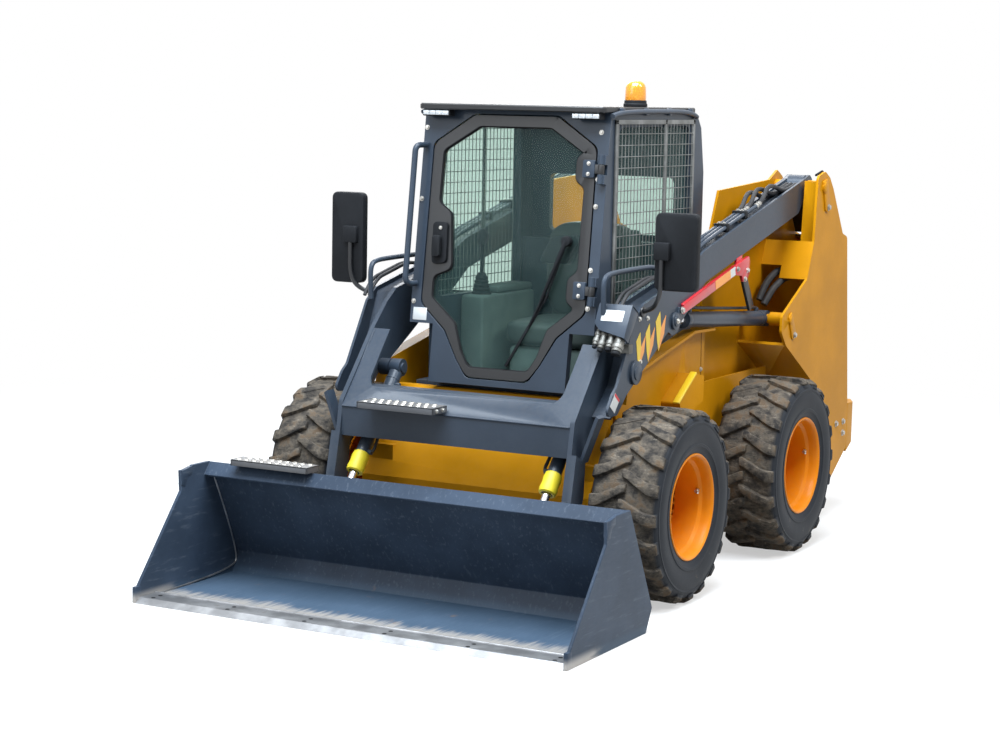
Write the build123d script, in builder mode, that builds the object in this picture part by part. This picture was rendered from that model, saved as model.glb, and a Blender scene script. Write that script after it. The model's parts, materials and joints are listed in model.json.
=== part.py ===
# Skid steer loader with an enclosed cab, lift arms and a low-profile bucket.
# Millimetres. +Z is up, the front faces -Y and the machine's left is +X.
# The origin is on the ground, midway between the bucket's edge and the rear bumper.
import os
from math import cos, hypot, radians, sin

from build123d import *

os.makedirs("parts", exist_ok=True)

# Wheels
wheelbase = 1256.0
tyre_radius = 404.0
tyre_width = 310.0
bead_radius = 214.0
rim_wall = 9.0
rim_flange_height = 10.0
rim_disc_inset = 175.0
rim_disc_wall = 12.0
hub_radius = 68.0
axle_radius = 30.0
running_gap = 0.05
tread_facets = 24
lug_count = 20
lug_root = 335.0
lug_top = 401.2
lug_taper = 10.0
lug_phase = 6.5
axle_tube_radius = 78.0

# Chassis
chassis_half = 560.0
wheel_clearance = 63.0
case_inner_x = 420.0
case_half_length = 800.0
case_bottom = 235.0
case_top = 560.0
plate = 12.0
belly_z = 205.0
chassis_front_low = (-840.0, 430.0)
chassis_front_high = (-614.0, 804.0)
side_plate_front = -640.0
side_plate_step = 285.0
tail_y = 1700.0
step_box_depth = 90.0

# Towers and the arm pivot
pivot_y, pivot_z = 1270.0, 1661.0
pivot_pin_radius = 30.0
tower_outer_x = 740.0
tower_inner_x = 480.0
lift_base_y, lift_base_z = 874.0, 1047.0
lift_pin_radius = 22.0
tower_flange = 70.0
tower_notch = 105.0

# Lift arms
arm_inner_x = 542.0
arm_outer_x = 655.0
arm_inner_wall = 20.0
arm_outer_wall = 12.0
arm_corner = 25.0
leg_outer_x = 584.0
lift_head_y, lift_head_z = -270.0, 1128.0

# Cross beam between the arms
beam_front_y = -1020.0
beam_bottom_z = 622.0
beam_face_top_z = 748.0
wing_top_y, wing_top_z = -762.0, 1058.0
wing_plate = 12.0

# Bucket and quick coupler
bucket_half = 987.5
bucket_edge_y = -1882.0
bucket_heel_y = -1200.0
bucket_back_y, bucket_back_z = -1148.0, 94.0
bucket_top_y, bucket_top_z = -1371.0, 515.0
bucket_sheet = 10.0
bucket_side_sheet = 14.0
bucket_step_inset = 347.5
coupler_y, coupler_z = -1125.0, 170.0
coupler_pin_radius = 22.0

# Cylinders
lift_x = 602.0
lift_barrel_radius = 35.0
lift_rod_radius = 22.0
lift_barrel_length = 940.0
lift_rod_start = 98.0
tilt_x = 460.0
tilt_top_y, tilt_top_z = -700.0, 886.0
tilt_foot_y, tilt_foot_z = -1133.0, 370.0
tilt_barrel_radius = 30.0
tilt_rod_radius = 18.0
tilt_barrel_length = 500.0
tilt_rod_start = 150.0
eye_width = 50.0
cylinder_bore_gap = 0.4

# Cab
cab_half = 449.0
cab_wall = 40.0
cab_rear_y = 378.0
cab_top_z = 2005.0
roof_thickness = 26.0
roof_front_y = -583.0
cab_foot_y, cab_foot_z = -657.0, 830.0
cab_lean = 0.126
cab_floor_z = 570.0
footwell_y = -560.0
door_gap = 6.0
door_thickness = 34.0
glass = 6.0
screen_bar = 8.0
screen_pitch = 45.0
console_width = 120.0
hinge_x = 430.0
hinge_out = 20.5
hinge_radius = 14.0
hinge_knuckle = 40.0
hinge_low_z = 1262.0
hinge_drop = 235.0
hinge_heights = (hinge_low_z, cab_top_z - hinge_drop)
cab_shelf_y, cab_shelf_z = 470.0, 1372.0
cab_shoulder_drop = 265.0

# Rear
bumper_rear_y = 1882.0
bumper_top_z = 556.0
bumper_bottom_z = 201.0
tow_bore_radius = 20.0
rear_door_half = 470.0
rear_door_height = 690.0
rear_door_wall = 40.0
grille_width, grille_height = 780.0, 470.0
slat_count = 9
slat_height = 24.0


def cab_face_y(z):
    """Y of the cab's sloped front face at a height."""
    return cab_foot_y + (z - cab_foot_z) * cab_lean


def tower_rear_y(z):
    """Y of the towers' sloped rear edge at a height."""
    return 1719.0 - (z - 567.0) * 97.0 / 838.0


def hinge_plane(z):
    """Plane across the cab door's hinge axis at a height, facing up along it."""
    origin = (hinge_x, cab_face_y(z) - hinge_out, z)
    return Plane(origin=origin, x_dir=(1, 0, 0), z_dir=(0, cab_lean, 1))


def side_profile(x):
    """Sketch plane at a given X, with local x along Y and local y along Z."""
    return Plane.YZ.offset(x)


def keep(part, name):
    """Label a finished piece and write its file."""
    part.label = name
    export_step(part, "parts/" + name + ".step")


wheel_z = tyre_radius
tyre_inner_x = chassis_half + wheel_clearance
axle_y = wheelbase / 2
tyre_outer_x = tyre_inner_x + tyre_width
rim_disc_x = tyre_outer_x - rim_disc_inset

# Chassis: tub, chain cases, side plates, front and rear cross plates
side_outline = [
    (side_plate_front + 60, case_top - 60),
    (side_plate_front, chassis_front_high[1]),
    (side_plate_front + 25, 915),
    (60, 1055),
    (side_plate_step, 1050),
    (side_plate_step, 800),
    (1040, 800),
    (1040, case_top - 60),
]
with BuildPart() as chassis_frame:
    for side in (-1, 1):
        case_mid = side * (case_inner_x + chassis_half) / 2
        with Locations((case_mid, 0, (case_bottom + case_top) / 2)):
            Box(chassis_half - case_inner_x, 2 * case_half_length, case_top - case_bottom)
        with BuildSketch(side_profile(side * chassis_half)):
            with BuildLine():
                Polyline(*side_outline, close=True)
            make_face()
        extrude(amount=-side * plate)
        lip_half = 26.0
        with BuildSketch(side_profile(side * (chassis_half + 2 * lip_half))):
            with BuildLine():
                Polyline(
                    side_outline[1],
                    side_outline[2],
                    side_outline[3],
                    side_outline[4],
                    (side_outline[4][0], side_outline[4][1] - plate),
                    (side_outline[3][0], side_outline[3][1] - plate),
                    (side_outline[2][0] + 8, side_outline[2][1] - plate),
                    (side_outline[1][0] + plate, side_outline[1][1]),
                    close=True,
                )
            make_face()
        extrude(amount=-side * 2 * lip_half)
        with BuildSketch(side_profile(side * chassis_half)):
            with BuildLine():
                Polyline((2, 872), (-177, 760), (-136, 690), (80, 745), (82, 857), close=True)
            make_face()
            fillet(vertices(), 10)
        extrude(amount=side * step_box_depth)
    with BuildSketch(side_profile(-case_inner_x)):
        with BuildLine():
            Polyline(
                chassis_front_low,
                (-760, belly_z),
                (tail_y, belly_z),
                (tail_y, belly_z + 120),
                (tail_y - plate, belly_z + 120),
                (tail_y - plate, belly_z + plate),
                (-760 + plate, belly_z + plate),
                (chassis_front_low[0] + plate, chassis_front_low[1]),
                close=True,
            )
        make_face()
    extrude(amount=2 * case_inner_x)
    with BuildSketch(side_profile(-(chassis_half - plate))):
        with BuildLine():
            Polyline(
                chassis_front_low,
                (chassis_front_low[0], chassis_front_low[1] - 60),
                (chassis_front_low[0] + 50, chassis_front_low[1] - 60),
                (chassis_front_low[0] + 50, chassis_front_low[1]),
                (chassis_front_high[0] + 14, chassis_front_high[1] - 40),
                (chassis_front_high[0] + 40, chassis_front_high[1] - 40),
                (chassis_front_high[0] + 40, chassis_front_high[1]),
                chassis_front_high,
                close=True,
            )
        make_face()
    extrude(amount=2 * (chassis_half - plate))
    with Locations((0, 395 + plate / 2, (belly_z + 1240) / 2)):
        Box(2 * tower_inner_x, plate, 1240 - belly_z)
    with Locations((0, tail_y - 30, 450)):
        Box(2 * tower_inner_x, 60, 300)
keep(chassis_frame.part, "chassis_frame")

# Axle tubes bolted to the chain cases, each with its stub shaft
with BuildPart() as axles:
    for side in (-1, 1):
        for end in (-1, 1):
            hub_plane = Plane(origin=(side * chassis_half, end * axle_y, wheel_z), z_dir=(side, 0, 0))
            with BuildSketch(hub_plane):
                Circle(axle_tube_radius + 22)
            extrude(amount=16)
            with BuildSketch(hub_plane):
                Circle(axle_tube_radius)
            extrude(amount=tyre_inner_x - chassis_half - 4)
            with BuildSketch(hub_plane):
                Circle(axle_radius)
            extrude(amount=rim_disc_x + 30 - chassis_half)
keep(axles.part, "axles")


# Wheels: tyre and dished rim, revolved about the axle
def wheel_plane(end):
    """Radial plane through a wheel's axis, local x along X and local y outward."""
    return Plane(origin=(0, end * axle_y, wheel_z), x_dir=(1, 0, 0), z_dir=(0, -1, 0))


def tyre_ring(x, radius):
    """Faceted section across the front left tyre at one X."""
    plane = Plane(origin=(x, -axle_y, wheel_z), x_dir=(0, 0, -1), z_dir=(1, 0, 0))
    with BuildSketch(plane) as ring:
        RegularPolygon(radius, tread_facets)
    return ring.sketch.faces()[0]


def lug_plane(turn):
    """Plane at the roots of the lugs at an angle round the front left wheel, facing outward."""
    outward = Vector(0, sin(radians(turn)), -cos(radians(turn)))
    hub = Vector(tyre_inner_x + tyre_width / 2, -axle_y, wheel_z)
    return Plane(origin=hub + outward * lug_root, x_dir=(1, 0, 0), z_dir=outward)


def build_tyre():
    """Front left tyre: a faceted carcass with two rows of slanted lugs, half a pitch apart."""
    inner = tyre_inner_x
    outer = tyre_outer_x
    stations = [
        (inner + 24, 222),
        (inner, 320),
        (inner + 26, 380),
        (outer - 26, 380),
        (outer, 320),
        (outer - 24, 222),
    ]
    bore_radius = (bead_radius + running_gap) / cos(radians(180 / tread_facets))
    reach = tyre_width / 2 - 3
    with BuildPart() as tyre:
        loft(sections=[tyre_ring(x, radius) for x, radius in stations], ruled=True)
        extrude(to_extrude=tyre_ring(inner - 1, bore_radius), amount=tyre_width + 2, mode=Mode.SUBTRACT)
        for row in (1, -1):
            for index in range(lug_count):
                turn = lug_phase + (index + (1 - row) / 4) * 360 / lug_count
                with BuildSketch(lug_plane(turn)):
                    with BuildLine():
                        Polyline((0, 14), (0, 63), (row * reach, 3), (row * reach, -63), close=True)
                    make_face()
                extrude(amount=lug_top - lug_root, taper=lug_taper)
    return tyre.part


def rim_barrel(side):
    """Rim barrel with its two flanges, as (x, radius) points."""
    inner = tyre_inner_x + 18
    outer = tyre_outer_x - 18
    seat = bead_radius - 0.3
    low = seat - rim_wall
    high = seat + rim_flange_height
    points = [
        (inner, seat),
        (outer, seat),
        (outer, high),
        (outer + 7, high),
        (outer + 7, low),
        (inner - 7, low),
        (inner - 7, high),
        (inner, high),
    ]
    return [(side * u, v) for u, v in points]


def rim_disc(side):
    """Dished disc and hub, as (x, radius) points."""
    bore = axle_radius + running_gap
    seat = bead_radius - 0.3 - rim_wall / 2
    face = rim_disc_x
    points = [
        (tyre_inner_x + 30, bore),
        (face + 30, bore),
        (face + 30, hub_radius - 14),
        (face + 18, hub_radius),
        (face, hub_radius + 6),
        (face, 130),
        (face - 26, 168),
        (face - 26, seat),
        (face - 26 - rim_disc_wall, seat),
        (face - 26 - rim_disc_wall, 160),
        (face - rim_disc_wall, 122),
        (face - rim_disc_wall, hub_radius),
        (tyre_inner_x + 30, hub_radius),
    ]
    return [(side * u, v) for u, v in points]


front_left_tyre = build_tyre()
front_tyres = {1: front_left_tyre, -1: mirror(front_left_tyre, about=Plane.YZ)}
wheel_names = {(1, -1): "front_left", (-1, -1): "front_right", (1, 1): "rear_left", (-1, 1): "rear_right"}
for (side, end), place in wheel_names.items():
    spin_axis = Axis((0, end * axle_y, wheel_z), (1, 0, 0))
    keep(Pos(0, (end + 1) * axle_y, 0) * front_tyres[side], "tyre_" + place)
    with BuildPart() as rim:
        with BuildSketch(wheel_plane(end)):
            with BuildLine():
                Polyline(*rim_barrel(side), close=True)
            make_face()
            with BuildLine():
                Polyline(*rim_disc(side), close=True)
            make_face()
        revolve(axis=spin_axis)
    keep(rim.part, "rim_" + place)

# Towers: outer and inner plates, rear and lower closing plates, pivot and cylinder pins
outer_outline = [
    (1188, 1713),
    (pivot_y + 10, 1735),
    (1345, 1705),
    (1400, 1647),
    (1556, 1423),
    (1622, 1405),
    (1719, 567),
    (1719, 330),
    (1512, bumper_bottom_z),
    (1262, bumper_bottom_z),
    (1219, 330),
    (1219, 709),
    (834, 928),
    (lift_base_y - 103, lift_base_z - 50),
    (lift_base_y - 98, lift_base_z + 25),
    (1080, 1225),
    (1159, 1402),
]
inner_outline = [
    (812, 540),
    (812, case_top),
    (400, case_top),
    (400, 1300),
    (560, 1655),
    (1180, 1690),
    (pivot_y + 10, 1735),
    (1345, 1705),
    (1400, 1647),
    (1556, 1423),
    (1622, 1405),
    (tail_y + 12, 620),
    (tail_y + 12, 540),
]
with BuildPart() as tower_left:
    with BuildSketch(side_profile(tower_outer_x - plate)):
        with BuildLine():
            Polyline(*outer_outline, close=True)
        make_face()
        fillet(vertices(), 25)
    extrude(amount=plate)
    with BuildSketch(side_profile(tower_inner_x)):
        with BuildLine():
            Polyline(*inner_outline, close=True)
        make_face()
    extrude(amount=plate)
    with BuildSketch(side_profile(tower_inner_x + plate)):
        with BuildLine():
            Polyline((1622, 1405), (1719, 567), (1719, 420), (1705, 420), (1705, 567), (1608, 1405), close=True)
        make_face()
        with BuildLine():
            Polyline((1219, 709), (834, 928), (841, 940), (1233, 717), (1233, 330), (1219, 330), close=True)
        make_face()
    extrude(amount=tower_outer_x - tower_inner_x - 2 * plate)
    with BuildSketch(side_profile(tower_outer_x - tower_flange)):
        with BuildLine():
            Polyline((1188, 1690), (1159, 1402), (1080, 1225), (1092, 1221), (1172, 1400), (1201, 1690), close=True)
        make_face()
    extrude(amount=tower_flange - plate)
    with BuildSketch(side_profile(tower_inner_x + plate)):
        with BuildLine():
            Polyline((1159, 1402), (1080, 1225), (1091, 1220), (1170, 1398), close=True)
        make_face()
    extrude(amount=tower_outer_x - tower_inner_x - 2 * plate)
    with Locations((tower_inner_x + plate + tower_notch / 2, 1100, 1240)):
        Box(tower_notch, 90, 90, mode=Mode.SUBTRACT)
    with BuildSketch(side_profile(tower_inner_x)):
        with Locations((pivot_y, pivot_z)):
            Circle(pivot_pin_radius)
    extrude(amount=tower_outer_x - tower_inner_x + 10)
    with BuildSketch(side_profile(tower_inner_x)):
        with Locations((lift_base_y, lift_base_z)):
            Circle(lift_pin_radius)
    extrude(amount=tower_outer_x - tower_inner_x + 8)
    boss_x = lift_x + lift_barrel_radius + 6
    with BuildSketch(side_profile(boss_x)):
        with Locations((lift_base_y, lift_base_z)):
            Circle(lift_pin_radius + 10)
    extrude(amount=tower_outer_x - boss_x)
keep(tower_left.part, "tower_left")
with BuildPart() as tower_right:
    add(mirror(tower_left.part, about=Plane.YZ))
keep(tower_right.part, "tower_right")

# Engine, hood and rear bumper
with BuildPart() as engine_block:
    with Locations((0, 1150, 740)):
        Box(520, 560, 560)
    with Locations((0, 1150, 342)):
        Box(360, 420, 250)
keep(engine_block.part, "engine_block")

hood_half = tower_inner_x - 2.0
with BuildPart() as engine_hood:
    with BuildSketch(side_profile(-hood_half)):
        with BuildLine():
            Polyline((412, 1240), (412, 1320), (440, 1345), (1480, 1345), (1600, 1310), (1606, 1270), (1592, 1268),
                     (1586, 1300), (1478, 1333), (445, 1333), (424, 1314), (424, 1240), close=True)
        make_face()
    extrude(amount=2 * hood_half)
keep(engine_hood.part, "engine_hood")

with BuildPart() as rear_bumper:
    with BuildSketch(Plane.XY.offset(bumper_bottom_z)):
        with BuildLine():
            Polyline(
                (-tower_outer_x, 1722),
                (-tower_outer_x, 1800),
                (-700, bumper_rear_y),
                (700, bumper_rear_y),
                (tower_outer_x, 1800),
                (tower_outer_x, 1722),
                close=True,
            )
        make_face()
    extrude(amount=bumper_top_z - bumper_bottom_z)
    with BuildSketch(side_profile(-tower_outer_x - 1)):
        with BuildLine():
            Polyline((1512, bumper_bottom_z - 1), (1900, 398), (1900, bumper_bottom_z - 1), close=True)
        make_face()
    extrude(amount=2 * tower_outer_x + 2, mode=Mode.SUBTRACT)
    with Locations((0, bumper_rear_y, 470)):
        Box(200, 120, 70, mode=Mode.SUBTRACT)
    with BuildSketch(Plane.XY.offset(bumper_top_z)):
        with Locations((0, bumper_rear_y - 32)):
            Circle(tow_bore_radius)
    extrude(amount=-156, mode=Mode.SUBTRACT)
keep(rear_bumper.part, "rear_bumper")

# Rear door: a slatted grille in a frame, hinged on the machine's right
with BuildPart() as rear_door:
    door_plane = Plane(origin=(0, 1732, 575), x_dir=(1, 0, 0), z_dir=(0, 1, 0.115))
    with BuildSketch(door_plane):
        with Locations((0, -rear_door_height / 2)):
            RectangleRounded(2 * rear_door_half, rear_door_height, 30)
            Rectangle(grille_width, grille_height, mode=Mode.SUBTRACT)
            with GridLocations(1, grille_height / slat_count, 1, slat_count):
                Rectangle(grille_width + 2, slat_height)
            Rectangle(slat_height, grille_height + 2)
    extrude(amount=rear_door_wall)
    with BuildSketch(door_plane.offset(rear_door_wall - 1)):
        with Locations((rear_door_half - 45, -rear_door_height / 2)):
            RectangleRounded(44, 150, 12)
    extrude(amount=15)
keep(rear_door.part, "rear_door")

# Cab shell: sides, sills, rear wall and floor, with its window and door openings cut
cab_profile = [
    (cab_face_y(cab_top_z), cab_top_z),
    (cab_foot_y, cab_foot_z),
    (footwell_y, cab_foot_z - 10),
    (footwell_y, cab_floor_z),
    (cab_rear_y - 90, cab_floor_z),
    (cab_rear_y, cab_floor_z + 140),
    (cab_rear_y, cab_shelf_z),
    (cab_shelf_y, cab_shelf_z),
    (cab_shelf_y, cab_top_z - cab_shoulder_drop),
    (cab_shelf_y - 40, cab_top_z - 65),
    (cab_rear_y, cab_top_z),
]
cab_inside = [
    (cab_face_y(cab_top_z) + cab_wall, cab_top_z + 1),
    (cab_foot_y + cab_wall, cab_foot_z + cab_wall),
    (footwell_y + cab_wall, cab_foot_z + cab_wall - 10),
    (footwell_y + cab_wall, cab_floor_z + cab_wall),
    (cab_rear_y - 90 - cab_wall, cab_floor_z + cab_wall),
    (cab_rear_y - cab_wall, cab_floor_z + 140 + cab_wall),
    (cab_rear_y - cab_wall, cab_shelf_z + cab_wall),
    (cab_shelf_y - cab_wall, cab_shelf_z + cab_wall),
    (cab_shelf_y - cab_wall, cab_top_z - cab_shoulder_drop),
    (cab_shelf_y - 40 - cab_wall, cab_top_z - 65),
    (cab_rear_y - cab_wall, cab_top_z + 1),
]


def door_outline(margin):
    """Door opening in the front frame, shrunk by a margin, as (x, z) points."""
    right = [
        (204 - margin * 0.6, cab_top_z - 15 - margin),
        (398 - margin, cab_top_z - 143 - margin * 0.6),
        (402 - margin, 1165 + margin * 0.5),
        (275 - margin, 1055 + margin * 0.5),
        (205 - margin * 0.8, 935),
        (150 - margin * 0.6, 858 + margin),
    ]
    left = [(-x, z) for x, z in reversed(right)]
    return right + left


side_window = [(-450, 1180), (-430, cab_top_z - 60), (300, cab_top_z - 55), (318, 1180)]
rear_window_low = cab_shelf_z + cab_wall + 29
rear_window_high = cab_top_z - cab_shoulder_drop - 29
rear_window_z = (rear_window_low + rear_window_high) / 2
rear_window_height = rear_window_high - rear_window_low
door_bulges = [[(-356, 1600), (-285, 1560), (-262, 1322), (-356, 1285)]]
for hinge_z in hinge_heights:
    door_bulges.append([(360, hinge_z + 80), (304, hinge_z + 45), (304, hinge_z - 50), (360, hinge_z - 80)])
with BuildPart() as cab_frame:
    with BuildSketch(side_profile(-cab_half)):
        with BuildLine():
            Polyline(*cab_profile, close=True)
        make_face()
    extrude(amount=2 * cab_half)
    with BuildSketch(side_profile(-cab_half + cab_wall)):
        with BuildLine():
            Polyline(*cab_inside, close=True)
        make_face()
    extrude(amount=2 * (cab_half - cab_wall), mode=Mode.SUBTRACT)
    with BuildSketch(Plane.XZ.offset(300)):
        with BuildLine():
            opening_edge = Polyline(*door_outline(0), close=True)
        make_face()
        fillet(vertices(), 45)
    extrude(amount=500, mode=Mode.SUBTRACT)
    with BuildSketch(side_profile(-cab_half - 1)):
        with BuildLine():
            Polyline(*side_window, close=True)
        make_face()
        fillet(vertices(), 40)
    extrude(amount=2 * cab_half + 2, mode=Mode.SUBTRACT)
    with BuildSketch(Plane.XZ.offset(-cab_shelf_y - 1)):
        with Locations((0, rear_window_z)):
            RectangleRounded(640, rear_window_height, 30)
    extrude(amount=cab_wall + 2, mode=Mode.SUBTRACT)
    for side in (-1, 1):
        with Locations((side * (cab_half - 57), cab_foot_y, 950)):
            Box(118, 400, 260, mode=Mode.SUBTRACT)
    for hinge_z in hinge_heights:
        for low in (-1.5 * hinge_knuckle - 1, 0.5 * hinge_knuckle + 1):
            with BuildSketch(hinge_plane(hinge_z).offset(low)):
                Circle(hinge_radius)
                with Locations((6, hinge_out / 2 + 1)):
                    Rectangle(26, hinge_out + 6)
            extrude(amount=hinge_knuckle)
keep(cab_frame.part, "cab_frame")

with BuildPart() as cab_roof:
    with BuildSketch(Plane.XY.offset(cab_top_z)):
        with Locations((0, (roof_front_y + cab_rear_y) / 2)):
            RectangleRounded(2 * cab_half, cab_rear_y - roof_front_y, 30)
    extrude(amount=roof_thickness)
keep(cab_roof.part, "cab_roof")

# Cab glazing: two side panes and the rear pane
with BuildPart() as cab_windows:
    for side in (-1, 1):
        with BuildSketch(side_profile(side * (cab_half - 22))):
            with BuildLine():
                Polyline(*side_window, close=True)
            make_face()
            fillet(vertices(), 40)
        extrude(amount=side * glass)
    with BuildSketch(Plane.XZ.offset(-cab_shelf_y + 24)):
        with Locations((0, rear_window_z)):
            RectangleRounded(640, rear_window_height, 30)
    extrude(amount=glass)
keep(cab_windows.part, "cab_windows")


# Side screens: a rim with upright bars, bolted outside the windows
def build_screen(side, name):
    """One side screen, standing against the cab's outer face."""
    front, rear = -478.0, 340.0
    low, high = 1150.0, cab_top_z - 27.0
    with BuildPart() as screen:
        with BuildSketch(side_profile(side * cab_half)):
            with Locations(((front + rear) / 2, (low + high) / 2)):
                Rectangle(rear - front, high - low)
                Rectangle(rear - front - 36, high - low - 36, mode=Mode.SUBTRACT)
            bar_count = int((rear - front) // screen_pitch)
            with Locations(((front + rear) / 2, (low + high) / 2)):
                with GridLocations(screen_pitch, 1, bar_count, 1):
                    Rectangle(screen_bar, high - low)
        extrude(amount=side * 10)
    keep(screen.part, name)


build_screen(1, "screen_left")
build_screen(-1, "screen_right")

# Cab inside: seat, side consoles with their levers
with BuildPart() as seat:
    with Locations((0, 20, 780)):
        Box(420, 400, 340)
    with Locations((0, 40, 1010)):
        Box(480, 480, 120)
    with BuildSketch(side_profile(-230)):
        with BuildLine():
            Polyline((190, 1040), (270, 1500), (335, 1500), (330, 1040), close=True)
        make_face()
    extrude(amount=460)
keep(seat.part, "seat")

with BuildPart() as consoles:
    for side in (-1, 1):
        console_x = side * (cab_half - cab_wall - console_width / 2 - 14)
        with Locations((console_x, -30, 912)):
            Box(console_width, 500, 600)
        with Locations((console_x, -190, 1270)):
            Cylinder(38, 100)
        with Locations((console_x, -190, 1370)):
            Cylinder(15, 120)
        with Locations((console_x, -190, 1440)):
            Cylinder(24, 70)
keep(consoles.part, "consoles")

# Cab door on slanted hinges at the machine's left, flush in the front frame
with BuildPart() as door_frame:
    with BuildSketch(side_profile(-cab_half)):
        with BuildLine():
            Polyline(
                (cab_face_y(2100), 2100),
                (cab_face_y(750), 750),
                (cab_face_y(750) + door_thickness, 750),
                (cab_face_y(2100) + door_thickness, 2100),
                close=True,
            )
        make_face()
    extrude(amount=2 * cab_half)
    with BuildSketch(Plane.XZ.offset(300)):
        with BuildLine():
            Polyline(*door_outline(door_gap), close=True)
        make_face()
        fillet(vertices(), 40)
        with BuildLine():
            Polyline(*door_outline(52), close=True)
        make_face(mode=Mode.SUBTRACT)
        for bulge in door_bulges:
            with BuildLine():
                Polyline(*bulge, close=True)
            make_face()
    extrude(amount=500, mode=Mode.INTERSECT)
    for hinge_z in hinge_heights:
        with BuildSketch(hinge_plane(hinge_z).offset(-0.5 * hinge_knuckle)):
            Circle(hinge_radius)
            with Locations((-36, 9)):
                Rectangle(72, 10)
            with Locations((-59, 13)):
                Rectangle(26, 19)
        extrude(amount=hinge_knuckle)
keep(door_frame.part, "door_frame")

with BuildPart() as door_glass:
    with BuildSketch(side_profile(-cab_half)):
        with BuildLine():
            Polyline(
                (cab_face_y(2100) + 12, 2100),
                (cab_face_y(750) + 12, 750),
                (cab_face_y(750) + 12 + glass, 750),
                (cab_face_y(2100) + 12 + glass, 2100),
                close=True,
            )
        make_face()
    extrude(amount=2 * cab_half)
    with BuildSketch(Plane.XZ.offset(300)):
        with BuildLine():
            Polyline(*door_outline(52), close=True)
        make_face()
        for bulge in door_bulges:
            with BuildLine():
                Polyline(*bulge, close=True)
            make_face(mode=Mode.SUBTRACT)
    extrude(amount=500, mode=Mode.INTERSECT)
keep(door_glass.part, "door_glass")

with BuildPart() as wiper:
    with BuildSketch(Plane(origin=(280, cab_face_y(1480) - 2, 1480), x_dir=(1, 0, 0), z_dir=(0, -1, cab_lean))):
        Circle(26)
    extrude(amount=30)
    with BuildSketch(Plane(origin=(280, cab_face_y(1480) - 14, 1480), x_dir=(1, 0, 0), z_dir=(0, -1, cab_lean))):
        with BuildLine():
            Polyline((-14, 0), (14, 0), (-240, -560), (-256, -552), close=True)
        make_face()
    extrude(amount=14)
keep(wiper.part, "wiper")

# Lamps on the cab, rear lamps and the beacon
with BuildPart() as lamps:
    for side in (-1, 1):
        with Locations((side * 361, roof_front_y + 30, cab_top_z - 14.5)):
            Box(136, 50, 27)
        with BuildSketch(Plane(origin=(side * 610, tower_rear_y(900), 900), x_dir=(1, 0, 0), z_dir=(0, 838, 97))):
            Rectangle(90, 150)
        extrude(amount=22)
keep(lamps.part, "lamps")

beacon_x, beacon_y = 385.0, -145.0
beacon_profile = [(0, 0), (52, 0), (52, 30), (46, 30), (44, 86), (38, 102), (24, 112), (0, 115)]
with BuildPart() as beacon:
    with BuildSketch(Plane(origin=(beacon_x, beacon_y, cab_top_z + roof_thickness), x_dir=(1, 0, 0), z_dir=(0, -1, 0))):
        with BuildLine():
            Polyline(*beacon_profile, close=True)
        make_face()
    revolve(axis=Axis((beacon_x, beacon_y, 0), (0, 0, 1)))
keep(beacon.part, "beacon")

with BuildPart() as grab_handles:
    with BuildLine() as handle_path:
        FilletPolyline(
            (-cab_half + 22, cab_face_y(1850) - 7, 1850),
            (-cab_half + 2, cab_face_y(1850) - 70, 1850),
            (-cab_half + 2, cab_face_y(1250) - 70, 1250),
            (-cab_half + 22, cab_face_y(1250) - 7, 1250),
            radius=30,
        )
    with BuildSketch(Plane(origin=handle_path.line @ 0, z_dir=handle_path.line % 0)):
        Circle(13)
    sweep()
keep(grab_handles.part, "grab_handles")

# Lift arms: inner and outer plates with webs between them, and the leg down to the coupler
arm_top_line = [
    (pivot_y + 19, pivot_z + 57),
    (1225, 1697),
    (40, 1414),
    (-269, 1290),
    (-584, 1222),
    (-661, 1168),
]
outer_front_line = [(-819, 902), (-858, 873), (-925, 785)]
arm_back_line = [
    (-812, 785),
    (-734, 856),
    (-461, 1010),
    (lift_head_y - 60, lift_head_z - 40),
    (lift_head_y - 20, lift_head_z - 62),
    (lift_head_y + 40, lift_head_z - 50),
    (lift_head_y + 72, lift_head_z - 10),
    (-60, 1200),
    (55, 1274),
    (1155, 1534),
    (pivot_y - 45, pivot_z - 60),
    (pivot_y + 20, pivot_z - 62),
    (pivot_y + 64, pivot_z - 10),
    (pivot_y + 55, pivot_z + 35),
]
inner_front_line = [
    (-762, 1068),
    (-1012, 770),
    (-1035, 640),
    (-1075, 455),
    (coupler_y - 40, coupler_z + 24),
    (coupler_y - 40, coupler_z - 18),
    (coupler_y - 18, coupler_z - 40),
    (coupler_y + 18, coupler_z - 40),
    (coupler_y + 40, coupler_z - 18),
    (-1010, 330),
    (-962, 460),
    (-952, 600),
]


def side_plate(points, low_x, high_x, corner=0):
    """Plate with a closed side outline between two X planes, its corners rounded if asked."""
    with BuildPart() as blank:
        with BuildSketch(side_profile(low_x)):
            with BuildLine():
                Polyline(*points, close=True)
            make_face()
            if corner:
                fillet(vertices(), corner)
        extrude(amount=high_x - low_x)
    return blank.part


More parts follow.
